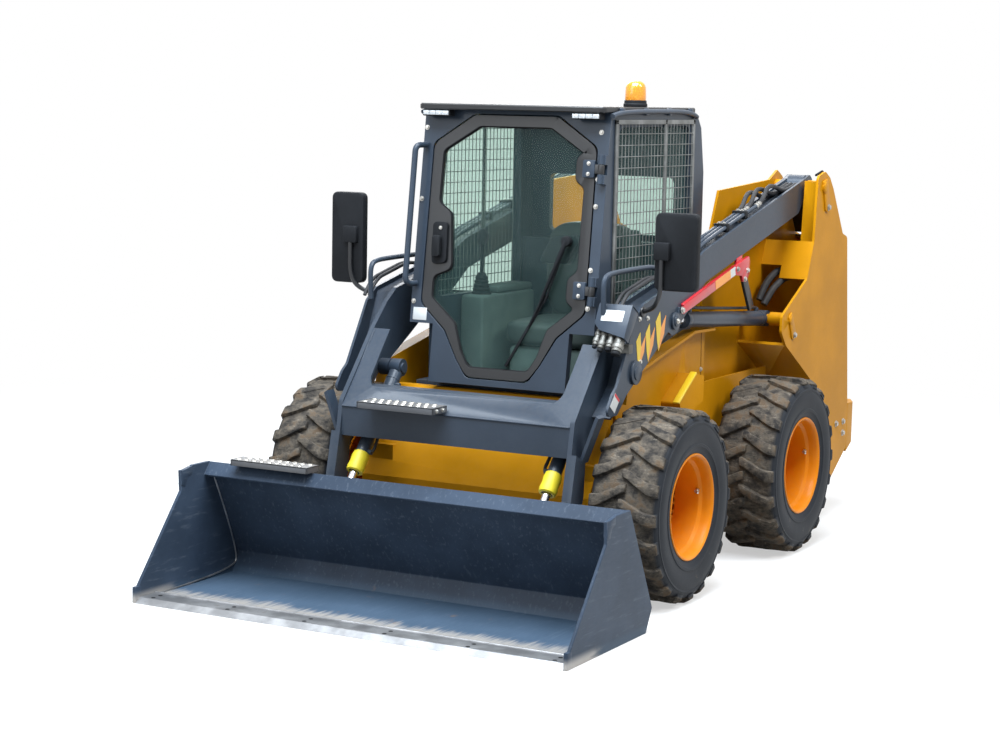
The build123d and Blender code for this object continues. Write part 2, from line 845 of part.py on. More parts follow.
with BuildPart() as arm_left:
    inner_outline_arm = arm_top_line + inner_front_line + arm_back_line[1:]
    outer_outline_arm = arm_top_line + outer_front_line + arm_back_line
    add(side_plate(inner_outline_arm, arm_inner_x, arm_inner_x + arm_inner_wall, arm_corner))
    add(side_plate(outer_outline_arm, arm_outer_x - arm_outer_wall, arm_outer_x, arm_corner))
    web_low = arm_inner_x + arm_inner_wall
    web_high = arm_outer_x - arm_outer_wall
    add(side_plate(
        [(1225, 1677), (40, 1394), (-269, 1270), (-584, 1202), (-584, 1190), (-269, 1258), (40, 1382), (1225, 1665)],
        web_low, web_high,
    ))
    add(side_plate([(-584, 1202), (-570, 1190), (-700, 880), (-845, 768), (-857, 776), (-716, 888)], web_low, web_high))
    add(side_plate([(55, 1276), (1155, 1536), (1155, 1548), (55, 1288)], web_low, web_high))
    add(side_plate([(-735, 862), (-461, 1016), (-461, 1028), (-745, 872)], web_low, web_high))
    leg_outline = [(-1035, 640), (-1075, 455)] + inner_front_line[4:9] + [(-1010, 330), (-962, 460), (-952, 600)]
    add(side_plate(leg_outline, arm_inner_x + arm_inner_wall, leg_outer_x))
    with BuildSketch(Plane.XZ.offset(928)):
        with BuildLine():
            Polyline((leg_outer_x - 14, 600), (leg_outer_x, 600), (arm_outer_x, 790), (arm_outer_x - 12, 800), close=True)
        make_face()
    extrude(amount=60)
    with BuildSketch(side_profile(web_low)):
        with Locations((pivot_y, pivot_z)):
            Circle(pivot_pin_radius + 24)
    extrude(amount=web_high - web_low)
    with BuildSketch(side_profile(arm_inner_x - 1)):
        with Locations((pivot_y, pivot_z)):
            Circle(pivot_pin_radius + running_gap)
    extrude(amount=arm_outer_x - arm_inner_x + 2, mode=Mode.SUBTRACT)
    eye_clear = eye_width / 2 + 5
    for low_x, high_x in ((web_low, lift_x - eye_clear), (lift_x + eye_clear, web_high)):
        with BuildSketch(side_profile(low_x)):
            with Locations((lift_head_y, lift_head_z)):
                Circle(lift_pin_radius + 8)
        extrude(amount=high_x - low_x)
    with BuildSketch(side_profile(tilt_x - eye_width / 2 - 8)):
        with Locations((tilt_top_y, tilt_top_z)):
            Circle(lift_pin_radius)
    extrude(amount=arm_inner_x - tilt_x + eye_width / 2 + 8)
    with BuildSketch(side_profile(tilt_x + eye_width / 2 + 6)):
        with Locations((tilt_top_y, tilt_top_z)):
            Circle(lift_pin_radius + 14)
    extrude(amount=arm_inner_x - tilt_x - eye_width / 2 - 6)
    with BuildSketch(side_profile(arm_inner_x - 1)):
        with Locations((coupler_y, coupler_z)):
            Circle(coupler_pin_radius + running_gap)
    extrude(amount=leg_outer_x - arm_inner_x + 2, mode=Mode.SUBTRACT)
keep(arm_left.part, "arm_left")
with BuildPart() as arm_right:
    add(mirror(arm_left.part, about=Plane.YZ))
keep(arm_right.part, "arm_right")

# Cross beam with its sloped top sheet and the two wings up the arms
slope_y = wing_top_y - beam_front_y
slope_z = wing_top_z - beam_face_top_z
slope_length = hypot(slope_y, slope_z)
wing_plane = Plane(
    origin=(0, beam_front_y, beam_face_top_z),
    x_dir=(1, 0, 0),
    z_dir=(0, -slope_z / slope_length, slope_y / slope_length),
)
with BuildPart() as cross_beam:
    with BuildSketch(side_profile(-arm_inner_x)):
        with BuildLine():
            Polyline((beam_front_y, beam_bottom_z), (beam_front_y, beam_face_top_z), (-950, 832), (-870, 832),
                     (-870, 790), (-1000, beam_bottom_z), close=True)
        make_face()
    extrude(amount=2 * arm_inner_x)
    for side in (-1, 1):
        with BuildSketch(wing_plane):
            with BuildLine():
                foot = Polyline((side * 382, 90), (side * 330, 90), (side * 330, 60), (side * arm_inner_x, 60))
                edge = Polyline(foot @ 1, (side * arm_inner_x, slope_length), (side * 466, slope_length), (side * 462, 170))
                RadiusArc(edge @ 1, foot @ 0, side * 80)
            make_face()
        extrude(amount=-wing_plate)
keep(cross_beam.part, "cross_beam")

with BuildPart() as arm_step:
    with Locations((-215, -1071, 776)):
        Box(370, 118, 28)
    with BuildSketch(side_profile(-380)):
        with BuildLine():
            Polyline((beam_front_y, beam_face_top_z - 20), (beam_front_y, 762), (-1100, 762), close=True)
        make_face()
    extrude(amount=330)
keep(arm_step.part, "arm_step")

# Auxiliary coupler guard and block at the top of the left arm's front
with BuildPart() as coupler_block:
    with BuildSketch(Plane(origin=(606, -725.2, 1132.6), x_dir=(1, 0, 0), z_dir=(0, -0.86, 0.5))):
        Rectangle(150, 150)
    extrude(amount=70)
keep(coupler_block.part, "coupler_block")

# Red lift-arm lock bar along the left arm's outer face
with BuildPart() as lift_lock:
    with BuildSketch(side_profile(arm_outer_x)):
        with BuildLine():
            Polyline((-310, 1150), (340, 1320), (340, 1372), (-310, 1204), close=True)
        make_face()
    extrude(amount=14)
keep(lift_lock.part, "lift_lock")

# Hydraulic pipes along the arm tops
with BuildPart() as arm_pipes:
    for side in (-1, 1):
        for pipe_x in (584, 606, 628):
            with BuildLine() as pipe_path:
                FilletPolyline(
                    (side * pipe_x, 1180, 1676), (side * pipe_x, 40, 1404), (side * pipe_x, -262, 1282), radius=60
                )
            with BuildSketch(Plane(origin=pipe_path.line @ 0, z_dir=pipe_path.line % 0)):
                Circle(8)
            sweep()
keep(arm_pipes.part, "arm_pipes")

# Mirrors on bent tubes from the arm elbows: side, centre x, centre z, width and height of each
mirror_sizes = ((1, 810.0, 1447.0, 190.0, 320.0), (-1, 776.0, 1434.0, 165.0, 400.0))
mirror_depth = 60.0
with BuildPart() as mirrors:
    for side, mirror_x, mirror_z, width, height in mirror_sizes:
        with BuildLine() as stalk:
            FilletPolyline(
                (side * arm_outer_x, -590, 1190),
                (side * (arm_outer_x + 70), -590, 1190),
                (side * (arm_outer_x + 90), -610, 1460),
                radius=30,
            )
        with BuildSketch(Plane(origin=stalk.line @ 0, z_dir=stalk.line % 0)):
            Circle(11)
        sweep()
        with BuildSketch(Plane.XZ.offset(610 + mirror_depth / 2)):
            with Locations((side * mirror_x, mirror_z)):
                RectangleRounded(width, height, 28)
        extrude(amount=-mirror_depth)
keep(mirrors.part, "mirrors")

# Bucket: folded sheet, side plates and the top lip
bucket_line = [
    (bucket_edge_y + 60, 0),
    (bucket_heel_y, 0),
    (bucket_back_y, bucket_back_z),
    (bucket_top_y, bucket_top_z),
    (-1412, 462),
    (-1402, 454),
    (-1368, 495),
    (bucket_back_y - 12, bucket_back_z + 2),
    (bucket_heel_y - 6, bucket_sheet),
    (bucket_edge_y + 60, bucket_sheet),
]
side_line = [
    (bucket_edge_y + 4, 0),
    (-1858, 66),
    (-1572, 416),
    (-1577, 503),
    (-1512, 503),
    (-1496, bucket_top_z),
    (bucket_top_y, bucket_top_z),
    (bucket_back_y, bucket_back_z),
    (bucket_heel_y, 0),
]
with BuildPart() as bucket:
    add(side_plate(bucket_line, -bucket_half + 1, bucket_half - 1))
    for side in (-1, 1):
        low_x = side * (bucket_half - bucket_side_sheet)
        add(side_plate(side_line, low_x, side * bucket_half))
keep(bucket.part, "bucket")

with BuildPart() as cutting_edge:
    add(side_plate(
        [(bucket_edge_y, 0), (bucket_edge_y + 60, 0), (bucket_edge_y + 60, bucket_sheet), (bucket_edge_y + 130, bucket_sheet),
         (bucket_edge_y + 130, 22), (bucket_edge_y + 30, 22)],
        -bucket_half + bucket_side_sheet, bucket_half - bucket_side_sheet,
    ))
keep(cutting_edge.part, "cutting_edge")

# Quick coupler behind the bucket: plate, ears and pins
back_y = bucket_top_y - bucket_back_y
back_z = bucket_top_z - bucket_back_z
back_length = hypot(back_y, back_z)
back_normal = (0.0, back_z / back_length, -back_y / back_length)


def back_point(along, out):
    """Point behind the bucket's back sheet, as (y, z)."""
    return (
        bucket_back_y + along * back_y / back_length + out * back_normal[1],
        bucket_back_z + along * back_z / back_length + out * back_normal[2],
    )


with BuildPart() as quick_coupler:
    add(side_plate([back_point(140, 0), back_point(440, 0), back_point(440, 14), back_point(140, 14)], -520, 520))
    for side in (-1, 1):
        for ear_x in (arm_inner_x - 14, leg_outer_x + 6):
            low_x, high_x = sorted((side * ear_x, side * (ear_x + 8)))
            add(side_plate(
                [back_point(20, 0), back_point(200, 0), (coupler_y + 18, coupler_z + 34), (coupler_y + 34, coupler_z),
                 (coupler_y + 16, coupler_z - 32), (coupler_y - 12, coupler_z - 34)],
                low_x, high_x,
            ))
        with BuildSketch(side_profile(side * (arm_inner_x - 14))):
            with Locations((coupler_y, coupler_z)):
                Circle(coupler_pin_radius)
        extrude(amount=side * (leg_outer_x - arm_inner_x + 28))
        for ear_x in (tilt_x - eye_width / 2 - 18, tilt_x + eye_width / 2 + 4):
            low_x, high_x = sorted((side * ear_x, side * (ear_x + 14)))
            add(side_plate(
                [back_point(150, 0), back_point(440, 0), (tilt_foot_y - 10, tilt_foot_z + 34),
                 (tilt_foot_y + 30, tilt_foot_z + 10), (tilt_foot_y + 26, tilt_foot_z - 26)],
                low_x, high_x,
            ))
keep(quick_coupler.part, "quick_coupler")

with BuildPart() as bucket_step:
    with Locations((bucket_step_inset - bucket_half, bucket_top_y - 10, bucket_top_z + 14)):
        Box(380, 90, 28)
keep(bucket_step.part, "bucket_step")


# Hydraulic cylinders: a barrel with its base eye, and a rod with its head eye
def cylinder_pieces(x, base, head, barrel_radius, rod_radius, barrel_length, rod_start, name):
    """Barrel and rod of one cylinder between its base pin and its rod pin, each a (y, z) point."""
    span_y, span_z = head[0] - base[0], head[1] - base[1]
    span = hypot(span_y, span_z)
    along = (0, span_y / span, span_z / span)
    line_plane = Plane(origin=(x, base[0], base[1]), x_dir=(1, 0, 0), z_dir=along)
    eye_radius = lift_pin_radius + 16
    with BuildPart() as barrel:
        with BuildSketch(line_plane.offset(eye_radius - 8)):
            Circle(barrel_radius)
        extrude(amount=barrel_length - eye_radius + 8)
        with BuildSketch(line_plane.offset(eye_radius + 20)):
            Circle(rod_radius + cylinder_bore_gap)
        extrude(amount=barrel_length, mode=Mode.SUBTRACT)
        with BuildSketch(side_profile(x - eye_width / 2)):
            with Locations(base):
                Circle(eye_radius)
        extrude(amount=eye_width)
        with BuildSketch(side_profile(x - eye_width / 2 - 1)):
            with Locations(base):
                Circle(lift_pin_radius + running_gap)
        extrude(amount=eye_width + 2, mode=Mode.SUBTRACT)
    keep(barrel.part, name.format("barrel"))
    with BuildPart() as rod:
        with BuildSketch(line_plane.offset(rod_start)):
            Circle(rod_radius)
        extrude(amount=span - rod_start)
        with BuildSketch(side_profile(x - eye_width / 2)):
            with Locations(head):
                Circle(eye_radius)
        extrude(amount=eye_width)
    keep(rod.part, name.format("rod"))


for side, place in ((1, "left"), (-1, "right")):
    cylinder_pieces(
        side * lift_x, (lift_base_y, lift_base_z), (lift_head_y, lift_head_z), lift_barrel_radius, lift_rod_radius,
        lift_barrel_length, lift_rod_start, "lift_{}_" + place,
    )
    cylinder_pieces(
        side * tilt_x, (tilt_top_y, tilt_top_z), (tilt_foot_y, tilt_foot_z), tilt_barrel_radius, tilt_rod_radius,
        tilt_barrel_length, tilt_rod_start, "tilt_{}_" + place,
    )
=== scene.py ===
# Skid steer loader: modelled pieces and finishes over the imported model.
# Shapes are written in millimetres, in the model's frame: +Z up, front at -Y, the machine's left at +X.
import json
from math import cos, pi, radians, sin

import bmesh
import bpy
from mathutils import Matrix, Vector, noise


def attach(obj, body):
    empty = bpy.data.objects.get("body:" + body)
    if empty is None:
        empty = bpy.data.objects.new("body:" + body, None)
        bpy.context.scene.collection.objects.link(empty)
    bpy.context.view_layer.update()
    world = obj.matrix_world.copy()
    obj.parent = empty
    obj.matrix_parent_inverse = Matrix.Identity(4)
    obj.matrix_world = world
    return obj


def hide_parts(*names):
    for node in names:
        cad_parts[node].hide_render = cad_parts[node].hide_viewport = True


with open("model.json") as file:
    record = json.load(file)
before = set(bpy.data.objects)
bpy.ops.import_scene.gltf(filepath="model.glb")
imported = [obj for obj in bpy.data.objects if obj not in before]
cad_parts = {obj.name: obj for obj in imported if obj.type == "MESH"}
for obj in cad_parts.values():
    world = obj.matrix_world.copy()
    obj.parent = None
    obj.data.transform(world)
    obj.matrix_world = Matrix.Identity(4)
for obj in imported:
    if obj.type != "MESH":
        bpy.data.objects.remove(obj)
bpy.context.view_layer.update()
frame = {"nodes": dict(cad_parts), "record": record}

MM = 0.001
EDGE_ANGLE = radians(26)

# Wheels
WHEEL_Y = 628.0
WHEEL_Z = 404.0
TYRE_INNER_X = 623.0
TYRE_WIDTH = 310.0
TREAD_RADIUS = 404.0
CARCASS_RADIUS = 384.0
BEAD_RADIUS = 214.0
LUGS = 20
LUG_PITCH = 2 * pi / LUGS
LUG_REACH = 150.0
LUG_HALF_WIDTH = 25.0
LUG_TOP = 24.0
LUG_SHOULDER = 118.0
LUG_SWING = 62.0
RIM_DISC_INSET = 174.0
WHEEL_NUTS = 8
NUT_CIRCLE = 88.0

# Cab
CAB_HALF = 449.0
CAB_TOP = 2005.0
ROOF_TOP = 2031.0
CAB_FOOT_Y = -657.0
CAB_FOOT_Z = 830.0
CAB_LEAN = 0.126

# Arms, bucket and cylinders
ARM_OUTER_X = 655.0
BUCKET_HALF = 987.5
LIFT_X = 602.0
LIFT_BASE = (874.0, 1047.0)
LIFT_HEAD = (-270.0, 1128.0)
TILT_X = 460.0
TILT_TOP = (-700.0, 886.0)
TILT_FOOT = (-1133.0, 370.0)
LIFT_RADIUS, LIFT_LENGTH = 35.0, 940.0
TILT_RADIUS, TILT_LENGTH = 30.0, 500.0
PIVOT = (1270.0, 1661.0)
TOWER_X = 740.0
CHASSIS_X = 560.0
SIDES = ((1, "left"), (-1, "right"))
CORNER_SIGNS = ((-1, -1), (1, -1), (1, 1), (-1, 1))


def cab_face(z):
    """Y of the cab's sloped front face at a height."""
    return CAB_FOOT_Y + (z - CAB_FOOT_Z) * CAB_LEAN


FACE_OUT = Vector((0, -1, CAB_LEAN)).normalized()


def on_face(x, z, out=0.0):
    """A point on the cab's sloped front face, or out from it."""
    return Vector((x, cab_face(z), z)) + FACE_OUT * out


# Finishes


class Signal:
    """A shader socket that takes part in sums and products."""

    def __init__(self, finish, socket):
        self.finish = finish
        self.socket = socket

    def math(self, operation, other, swapped=False):
        first, second = (other, self) if swapped else (self, other)
        return self.finish.node("Math", {"operation": operation}, {0: first, 1: second})

    def __add__(self, other):
        return self.math("ADD", other)

    def __radd__(self, other):
        return self.math("ADD", other, True)

    def __sub__(self, other):
        return self.math("SUBTRACT", other)

    def __rsub__(self, other):
        return self.math("SUBTRACT", other, True)

    def __mul__(self, other):
        return self.math("MULTIPLY", other)

    def __rmul__(self, other):
        return self.math("MULTIPLY", other, True)

    def ramp(self, low, high):
        """0 below low, 1 above high, and a smooth step between."""
        settings = {"interpolation_type": "SMOOTHSTEP"}
        values = {"Value": self, "From Min": low, "From Max": high}
        return self.finish.node("MapRange", settings, values)


class Finish:
    """One material, with its Principled shader and the nodes that feed it."""

    def __init__(self, name):
        self.material = bpy.data.materials.new(name)
        self.material.use_nodes = True
        self.tree = self.material.node_tree
        self.shader = self.tree.nodes["Principled BSDF"]
        self.place = self.node("TexCoord", {}, {}, "Object")

    def node(self, kind, settings, values, output=0):
        """A shader node of a type, with its settings and its sockets' values or links."""
        made = self.tree.nodes.new("ShaderNode" + kind)
        for key, value in settings.items():
            setattr(made, key, value)
        for key, value in values.items():
            self.feed(made.inputs[key], value)
        return Signal(self, made.outputs[output])

    def feed(self, socket, value):
        """Link a signal to a socket, or set the socket's own value."""
        if isinstance(value, Signal):
            self.tree.links.new(value.socket, socket)
        elif isinstance(value, tuple) and len(value) == 3 and socket.type == "RGBA":
            socket.default_value = (*value, 1.0)
        else:
            socket.default_value = value

    def noise(self, scale, detail=4.0, stretch=(1, 1, 1), offset=(0, 0, 0), roughness=0.55):
        """Cloudy noise, at a number of cells per metre."""
        where = self.node("Mapping", {}, {"Vector": self.place, "Scale": stretch, "Location": offset})
        values = {"Vector": where, "Scale": scale, "Detail": detail, "Roughness": roughness}
        return self.node("TexNoise", {}, values)

    def cells(self, scale, stretch=(1, 1, 1)):
        """Distance to the nearest of scattered points."""
        where = self.node("Mapping", {}, {"Vector": self.place, "Scale": stretch})
        return self.node("TexVoronoi", {}, {"Vector": where, "Scale": scale})

    def axis(self, letter, source="Object"):
        """One coordinate of the place, or of the surface's own normal."""
        where = self.node("TexCoord", {}, {}, source)
        return self.node("SeparateXYZ", {}, {"Vector": where}, letter)

    def mix(self, share, first, second):
        """Blend of two colours."""
        return self.node("Mix", {"data_type": "RGBA"}, {0: share, 6: first, 7: second}, 2)

    def bump(self, height, strength, distance):
        """Normal from a height."""
        return self.node("Bump", {}, {"Height": height, "Strength": strength, "Distance": distance})

    def blend(self, share, first, second):
        """Mix two shader nodes into the material's surface."""
        mixed = self.tree.nodes.new("ShaderNodeMixShader")
        self.feed(mixed.inputs[0], share)
        self.tree.links.new(first.outputs[0], mixed.inputs[1])
        self.tree.links.new(second.outputs[0], mixed.inputs[2])
        self.tree.links.new(mixed.outputs[0], self.tree.nodes["Material Output"].inputs["Surface"])
        return self.material

    def set(self, **values):
        """Feed the shader's sockets, named with underscores for spaces."""
        for key, value in values.items():
            self.feed(self.shader.inputs[key.replace("_", " ")], value)
        return self.material


def shade(colour, factor):
    """A colour, darker or lighter."""
    return tuple(min(1.0, part * factor) for part in colour)


EVEN = (1, 1, 1)
DUST = (0.34, 0.27, 0.19)
STEEL = (0.46, 0.45, 0.43)


def paint(name, colour, roughness=0.36, dust=0.35, coat=0.45, orange_peel=0.35, gloss=0.5):
    """Sprayed paint: faint clouds, dust on what faces up and near the ground, fine scratches."""
    f = Finish(name)
    clouds = f.noise(3.2, 5.0)
    fine = f.noise(60.0, 3.0, EVEN)
    scratches = f.noise(26.0, 6.0, (0.5, 0.5, 14.0)).ramp(0.66, 0.72)
    facing_up = f.axis("Z", "Normal").ramp(0.35, 0.95)
    low = 1 - f.axis("Z").ramp(0.15, 0.95)
    settled = (facing_up * 0.55 + low * 0.45) * (clouds * 0.7 + fine * 0.6).ramp(0.42, 0.85) * dust
    tone = f.mix(clouds.ramp(0.3, 0.75), shade(colour, 0.86), shade(colour, 1.08))
    tone = f.mix(scratches * 0.10, tone, shade(colour, 1.9))
    tone = f.mix(settled, tone, DUST)
    peel = f.noise(420.0, 1.0)
    return f.set(
        Base_Color=tone,
        Specular_IOR_Level=gloss,
        Roughness=roughness + settled * 0.4 + (fine - 0.5) * 0.12,
        Coat_Weight=coat * (1 - settled),
        Coat_Roughness=0.12,
        Normal=f.bump(peel, orange_peel, 0.0003),
    )


def bucket_paint():
    """Slate paint, rubbed to steel on the floor and along the front, with a painted sky highlight
    lightening the floor.
    """
    f = Finish("bucket_scuffed_slate")
    clouds = f.noise(4.0, 6.0)
    streaks = f.noise(16.0, 7.0, (5.0, 0.35, 3.0))
    fine = f.noise(90.0, 4.0, (1.0, 0.2, 1.0))
    along = f.axis("Y")
    height = f.axis("Z")
    floor = 1 - height.ramp(0.012, 0.05)
    forward = 1 - along.ramp(-1.78, -1.42)
    rubbed = (forward * 0.9 + streaks * 0.75 + clouds * 0.35).ramp(0.95, 1.35) * floor
    lightly = (streaks * 0.8 + fine * 0.5).ramp(0.68, 0.9) * 0.28
    slate = f.mix(clouds.ramp(0.3, 0.8), (0.028, 0.042, 0.066), (0.045, 0.066, 0.102))
    tone = f.mix(lightly, slate, (0.16, 0.19, 0.23))
    # Painted highlight: the up-facing floor is blended towards a pale blue, standing in for sky light
    # falling on it.
    tone = f.mix(floor * 0.45, tone, (0.07, 0.115, 0.17))
    tone = f.mix(rubbed, tone, (0.40, 0.38, 0.36))
    rust = (f.noise(7.0, 6.0, offset=(3, 1, 0)) + fine * 0.2).ramp(0.74, 0.86) * floor
    tone = f.mix(rust * 0.55, tone, (0.20, 0.13, 0.08))
    return f.set(
        Base_Color=tone,
        Specular_IOR_Level=0.12,
        Roughness=0.38 + fine * 0.22 + rubbed * 0.08,
        Metallic=rubbed * 0.75,
        Coat_Weight=0.1 * (1 - rubbed),
        Coat_Roughness=0.2,
        Normal=f.bump(streaks + fine * 0.5, 0.25, 0.0008),
    )


def bare_steel(name, colour=STEEL, roughness=0.34, grain=(6.0, 0.3, 3.0)):
    """Rubbed steel with grain along one way."""
    f = Finish(name)
    clouds = f.noise(9.0, 5.0)
    lines = f.noise(60.0, 5.0, grain)
    tone = f.mix(clouds.ramp(0.35, 0.7), shade(colour, 0.72), shade(colour, 1.25))
    tone = f.mix((clouds + lines * 0.4).ramp(0.86, 1.0) * 0.5, tone, (0.16, 0.12, 0.09))
    return f.set(
        Base_Color=tone,
        Metallic=0.9,
        Roughness=roughness + lines * 0.2,
        Normal=f.bump(lines, 0.3, 0.0004),
    )


def chrome(name):
    """Hard chrome with faint draw lines."""
    f = Finish(name)
    lines = f.noise(40.0, 2.0, EVEN)
    tone = f.mix(lines, (0.62, 0.62, 0.64), (0.78, 0.78, 0.8))
    return f.set(Base_Color=tone, Metallic=1.0, Roughness=0.1 + lines * 0.08)


def plastic(name, colour, roughness=0.5, grain=0.4):
    """Moulded plastic with a fine pebble grain."""
    f = Finish(name)
    pebbles = f.cells(700.0)
    clouds = f.noise(6.0, 4.0)
    tone = f.mix(clouds.ramp(0.35, 0.75), colour, shade(colour, 1.45))
    return f.set(
        Base_Color=tone,
        Roughness=roughness + clouds * 0.12,
        Specular_IOR_Level=0.12,
        Normal=f.bump(pebbles, grain, 0.0004),
    )


def hose_rubber(name):
    """Black hose rubber with a cloth-wrapped lay and dust."""
    f = Finish(name)
    lay = f.noise(240.0, 2.0)
    clouds = f.noise(12.0, 4.0)
    tone = f.mix(clouds.ramp(0.45, 0.8) * 0.5, (0.012, 0.013, 0.016), (0.07, 0.064, 0.058))
    return f.set(Base_Color=tone, Roughness=0.55 + clouds * 0.15, Normal=f.bump(lay, 0.5, 0.0006))


def tyre_rubber():
    """Black sidewalls, and a tread rubbed brown and grey with dried mud."""
    f = Finish("muddy_tyre_rubber")
    y, z = f.axis("Y"), f.axis("Z")
    from_axle_y = f.node("Math", {"operation": "ABSOLUTE"}, {0: y}) - WHEEL_Y * MM
    from_axle_z = z - WHEEL_Z * MM
    square = from_axle_y * from_axle_y + from_axle_z * from_axle_z
    radius = f.node("Math", {"operation": "SQRT"}, {0: square})
    tread = radius.ramp(0.372, 0.382)
    clods = f.noise(16.0, 7.0, roughness=0.65)
    smear = f.noise(42.0, 6.0, (0.35, 1, 1), roughness=0.7)
    crumbs = f.noise(190.0, 4.0)
    black = f.mix(f.noise(8.0, 4.0), (0.016, 0.018, 0.022), (0.030, 0.034, 0.041))
    dust = (clods + smear * 0.5).ramp(0.55, 0.95)
    dusty = f.mix(dust, (0.030, 0.028, 0.027), (0.155, 0.130, 0.102))
    mud = f.mix(clods.ramp(0.52, 0.64), dusty, (0.115, 0.082, 0.055))
    mud = f.mix((smear + crumbs * 0.3).ramp(0.74, 0.9), mud, (0.24, 0.21, 0.175))
    splash = (clods + crumbs * 0.35).ramp(0.80, 0.90) * (1 - z.ramp(0.04, 0.34)) * 0.8
    tone = f.mix(tread, f.mix(splash, black, (0.14, 0.12, 0.095)), mud)
    height = (clods * 2.0 + smear * 1.2 + crumbs * 0.35) * (0.06 + tread * 0.94)
    return f.set(
        Base_Color=tone,
        Roughness=0.52 + tread * 0.34,
        Specular_IOR_Level=0.10,
        Normal=f.bump(height, 0.75, 0.006),
    )


def clear_glass(name, tint, veil):
    """Thin glazing: tinted see-through with a clear gloss on it."""
    f = Finish(name)
    smudge = f.noise(5.0, 4.0).ramp(0.45, 0.85)
    f.set(Base_Color=(0.12, 0.20, 0.20), Roughness=0.03 + smudge * 0.08, Specular_IOR_Level=0.6)
    through = f.tree.nodes.new("ShaderNodeBsdfTransparent")
    through.inputs["Color"].default_value = (*tint, 1.0)
    facing = f.node("LayerWeight", {}, {"Blend": 0.35}, "Facing")
    return f.blend(veil + facing * facing * 0.45 + smudge * 0.03, through, f.shader)


def lens(name, colour, glow):
    """Moulded lens with fine prisms behind a gloss face."""
    f = Finish(name)
    prisms = f.cells(160.0)
    tone = f.mix(prisms.ramp(0.1, 0.6), colour, shade(colour, 0.65))
    return f.set(
        Base_Color=tone,
        Roughness=0.12,
        Coat_Weight=0.8,
        Emission_Color=tone,
        Emission_Strength=glow,
        Normal=f.bump(prisms, 0.35, 0.001),
    )


def vinyl(name, colour):
    """Seat vinyl with a leather-like grain."""
    f = Finish(name)
    grain = f.cells(380.0)
    clouds = f.noise(7.0, 4.0)
    tone = f.mix(clouds, shade(colour, 0.8), shade(colour, 1.3))
    return f.set(Base_Color=tone, Roughness=0.42 + clouds * 0.12, Normal=f.bump(grain, 0.45, 0.0006))


def label(name, colour):
    """Printed film without any print on it."""
    f = Finish(name)
    clouds = f.noise(22.0, 4.0)
    tone = f.mix(clouds.ramp(0.5, 0.8) * 0.3, colour, shade(colour, 0.75))
    return f.set(Base_Color=tone, Roughness=0.4 + clouds * 0.1, Coat_Weight=0.3)


YELLOW = (0.56, 0.242, 0.004)
RIM_YELLOW = (0.80, 0.245, 0.002)
SLATE = (0.036, 0.051, 0.074)
finishes = {
    "machine_yellow": paint("machine_yellow_paint", YELLOW, dust=0.10, coat=0.03, gloss=0.08),
    "rim_yellow": paint("rim_yellow_paint", RIM_YELLOW, dust=0.12, coat=0.05, gloss=0.15),
    "slate_blue": paint("slate_paint", SLATE, roughness=0.34, dust=0.14, coat=0.10, gloss=0.22),
    "bucket_paint": bucket_paint(),
    "worn_steel": bare_steel("worn_edge_steel", (0.33, 0.335, 0.345)),
    "step_steel": paint("step_grey_paint", (0.085, 0.09, 0.10), roughness=0.5, dust=0.3, coat=0.1),
    "rod_chrome": chrome("rod_chrome"),
    "lock_red": paint("lock_red_paint", (0.62, 0.012, 0.025), roughness=0.3, dust=0.12),
    "black_metal": paint("black_powder_coat", (0.009, 0.010, 0.012), roughness=0.42, dust=0.08, coat=0.15),
    "black_plastic": plastic("black_moulding", (0.011, 0.012, 0.014)),
    "tinted_glass": clear_glass("green_tinted_glass", (0.90, 0.97, 0.94), veil=0.06),
    "seat_vinyl": vinyl("seat_grey_vinyl", (0.050, 0.060, 0.061)),
    "lamp_lens": lens("lamp_clear_lens", (0.72, 0.75, 0.78), glow=0.12),
    "beacon_amber": lens("beacon_amber_lens", (0.90, 0.33, 0.01), glow=0.25),
    "tyre_rubber": tyre_rubber(),
}
bolt_zinc = bare_steel("zinc_bolts", (0.50, 0.49, 0.46), 0.28, EVEN)
dull_zinc = bare_steel("dull_zinc", (0.17, 0.17, 0.16), 0.42, EVEN)
wire_grey = bare_steel("screen_wire", (0.24, 0.25, 0.25), 0.4, EVEN)
hose_black = hose_rubber("hose_rubber")
# Black rubber for gaskets, trim and seams; also used as painted shade in the bolt and drain holes.
gasket_and_hole_shade_black = plastic("rubber_gasket_and_hole_shade", (0.010, 0.010, 0.011), 0.62, 0.2)
console_grey = plastic("console_grey_moulding", (0.105, 0.128, 0.126), 0.55)
white_label = label("white_label_film", (0.62, 0.64, 0.64))
red_label = label("red_label_film", (0.55, 0.02, 0.03))
chevron_yellow = label("chevron_yellow_film", (0.80, 0.55, 0.02))
chevron_orange = label("chevron_orange_film", (0.85, 0.33, 0.06))
wrap_yellow = vinyl("yellow_wrap_cloth", (0.62, 0.50, 0.02))
tail_red = lens("tail_red_lens", (0.45, 0.01, 0.012), glow=0.03)
mirror_glass = chrome("mirror_face")


# Shapes


def corner_points(before, corner, after, radius, steps):
    """Points of the arc that rounds one corner of an outline."""
    corner, before, after = Vector(corner), Vector(before), Vector(after)
    back, ahead = (before - corner).normalized(), (after - corner).normalized()
    half = back.angle(ahead) / 2
    room = min((before - corner).length, (after - corner).length) * 0.49
    reach = min(radius / max(0.05, abs(sin(half) / cos(half))), room)
    start, end = corner + back * reach, corner + ahead * reach
    shares = [i / steps for i in range(steps + 1)]
    return [start.lerp(corner, t).lerp(corner.lerp(end, t), t) for t in shares]


def rounded(points, radius, steps=5):
    """A closed 2-D outline with its corners rounded. A point's third number is its own radius."""
    flat = [tuple(p[:2]) for p in points]
    out = []
    for i, point in enumerate(points):
        own = point[2] if len(point) > 2 else radius
        if own:
            out += corner_points(flat[i - 1], flat[i], flat[(i + 1) % len(flat)], own, steps)
        else:
            out.append(Vector(flat[i]))
    return [tuple(p) for p in out]


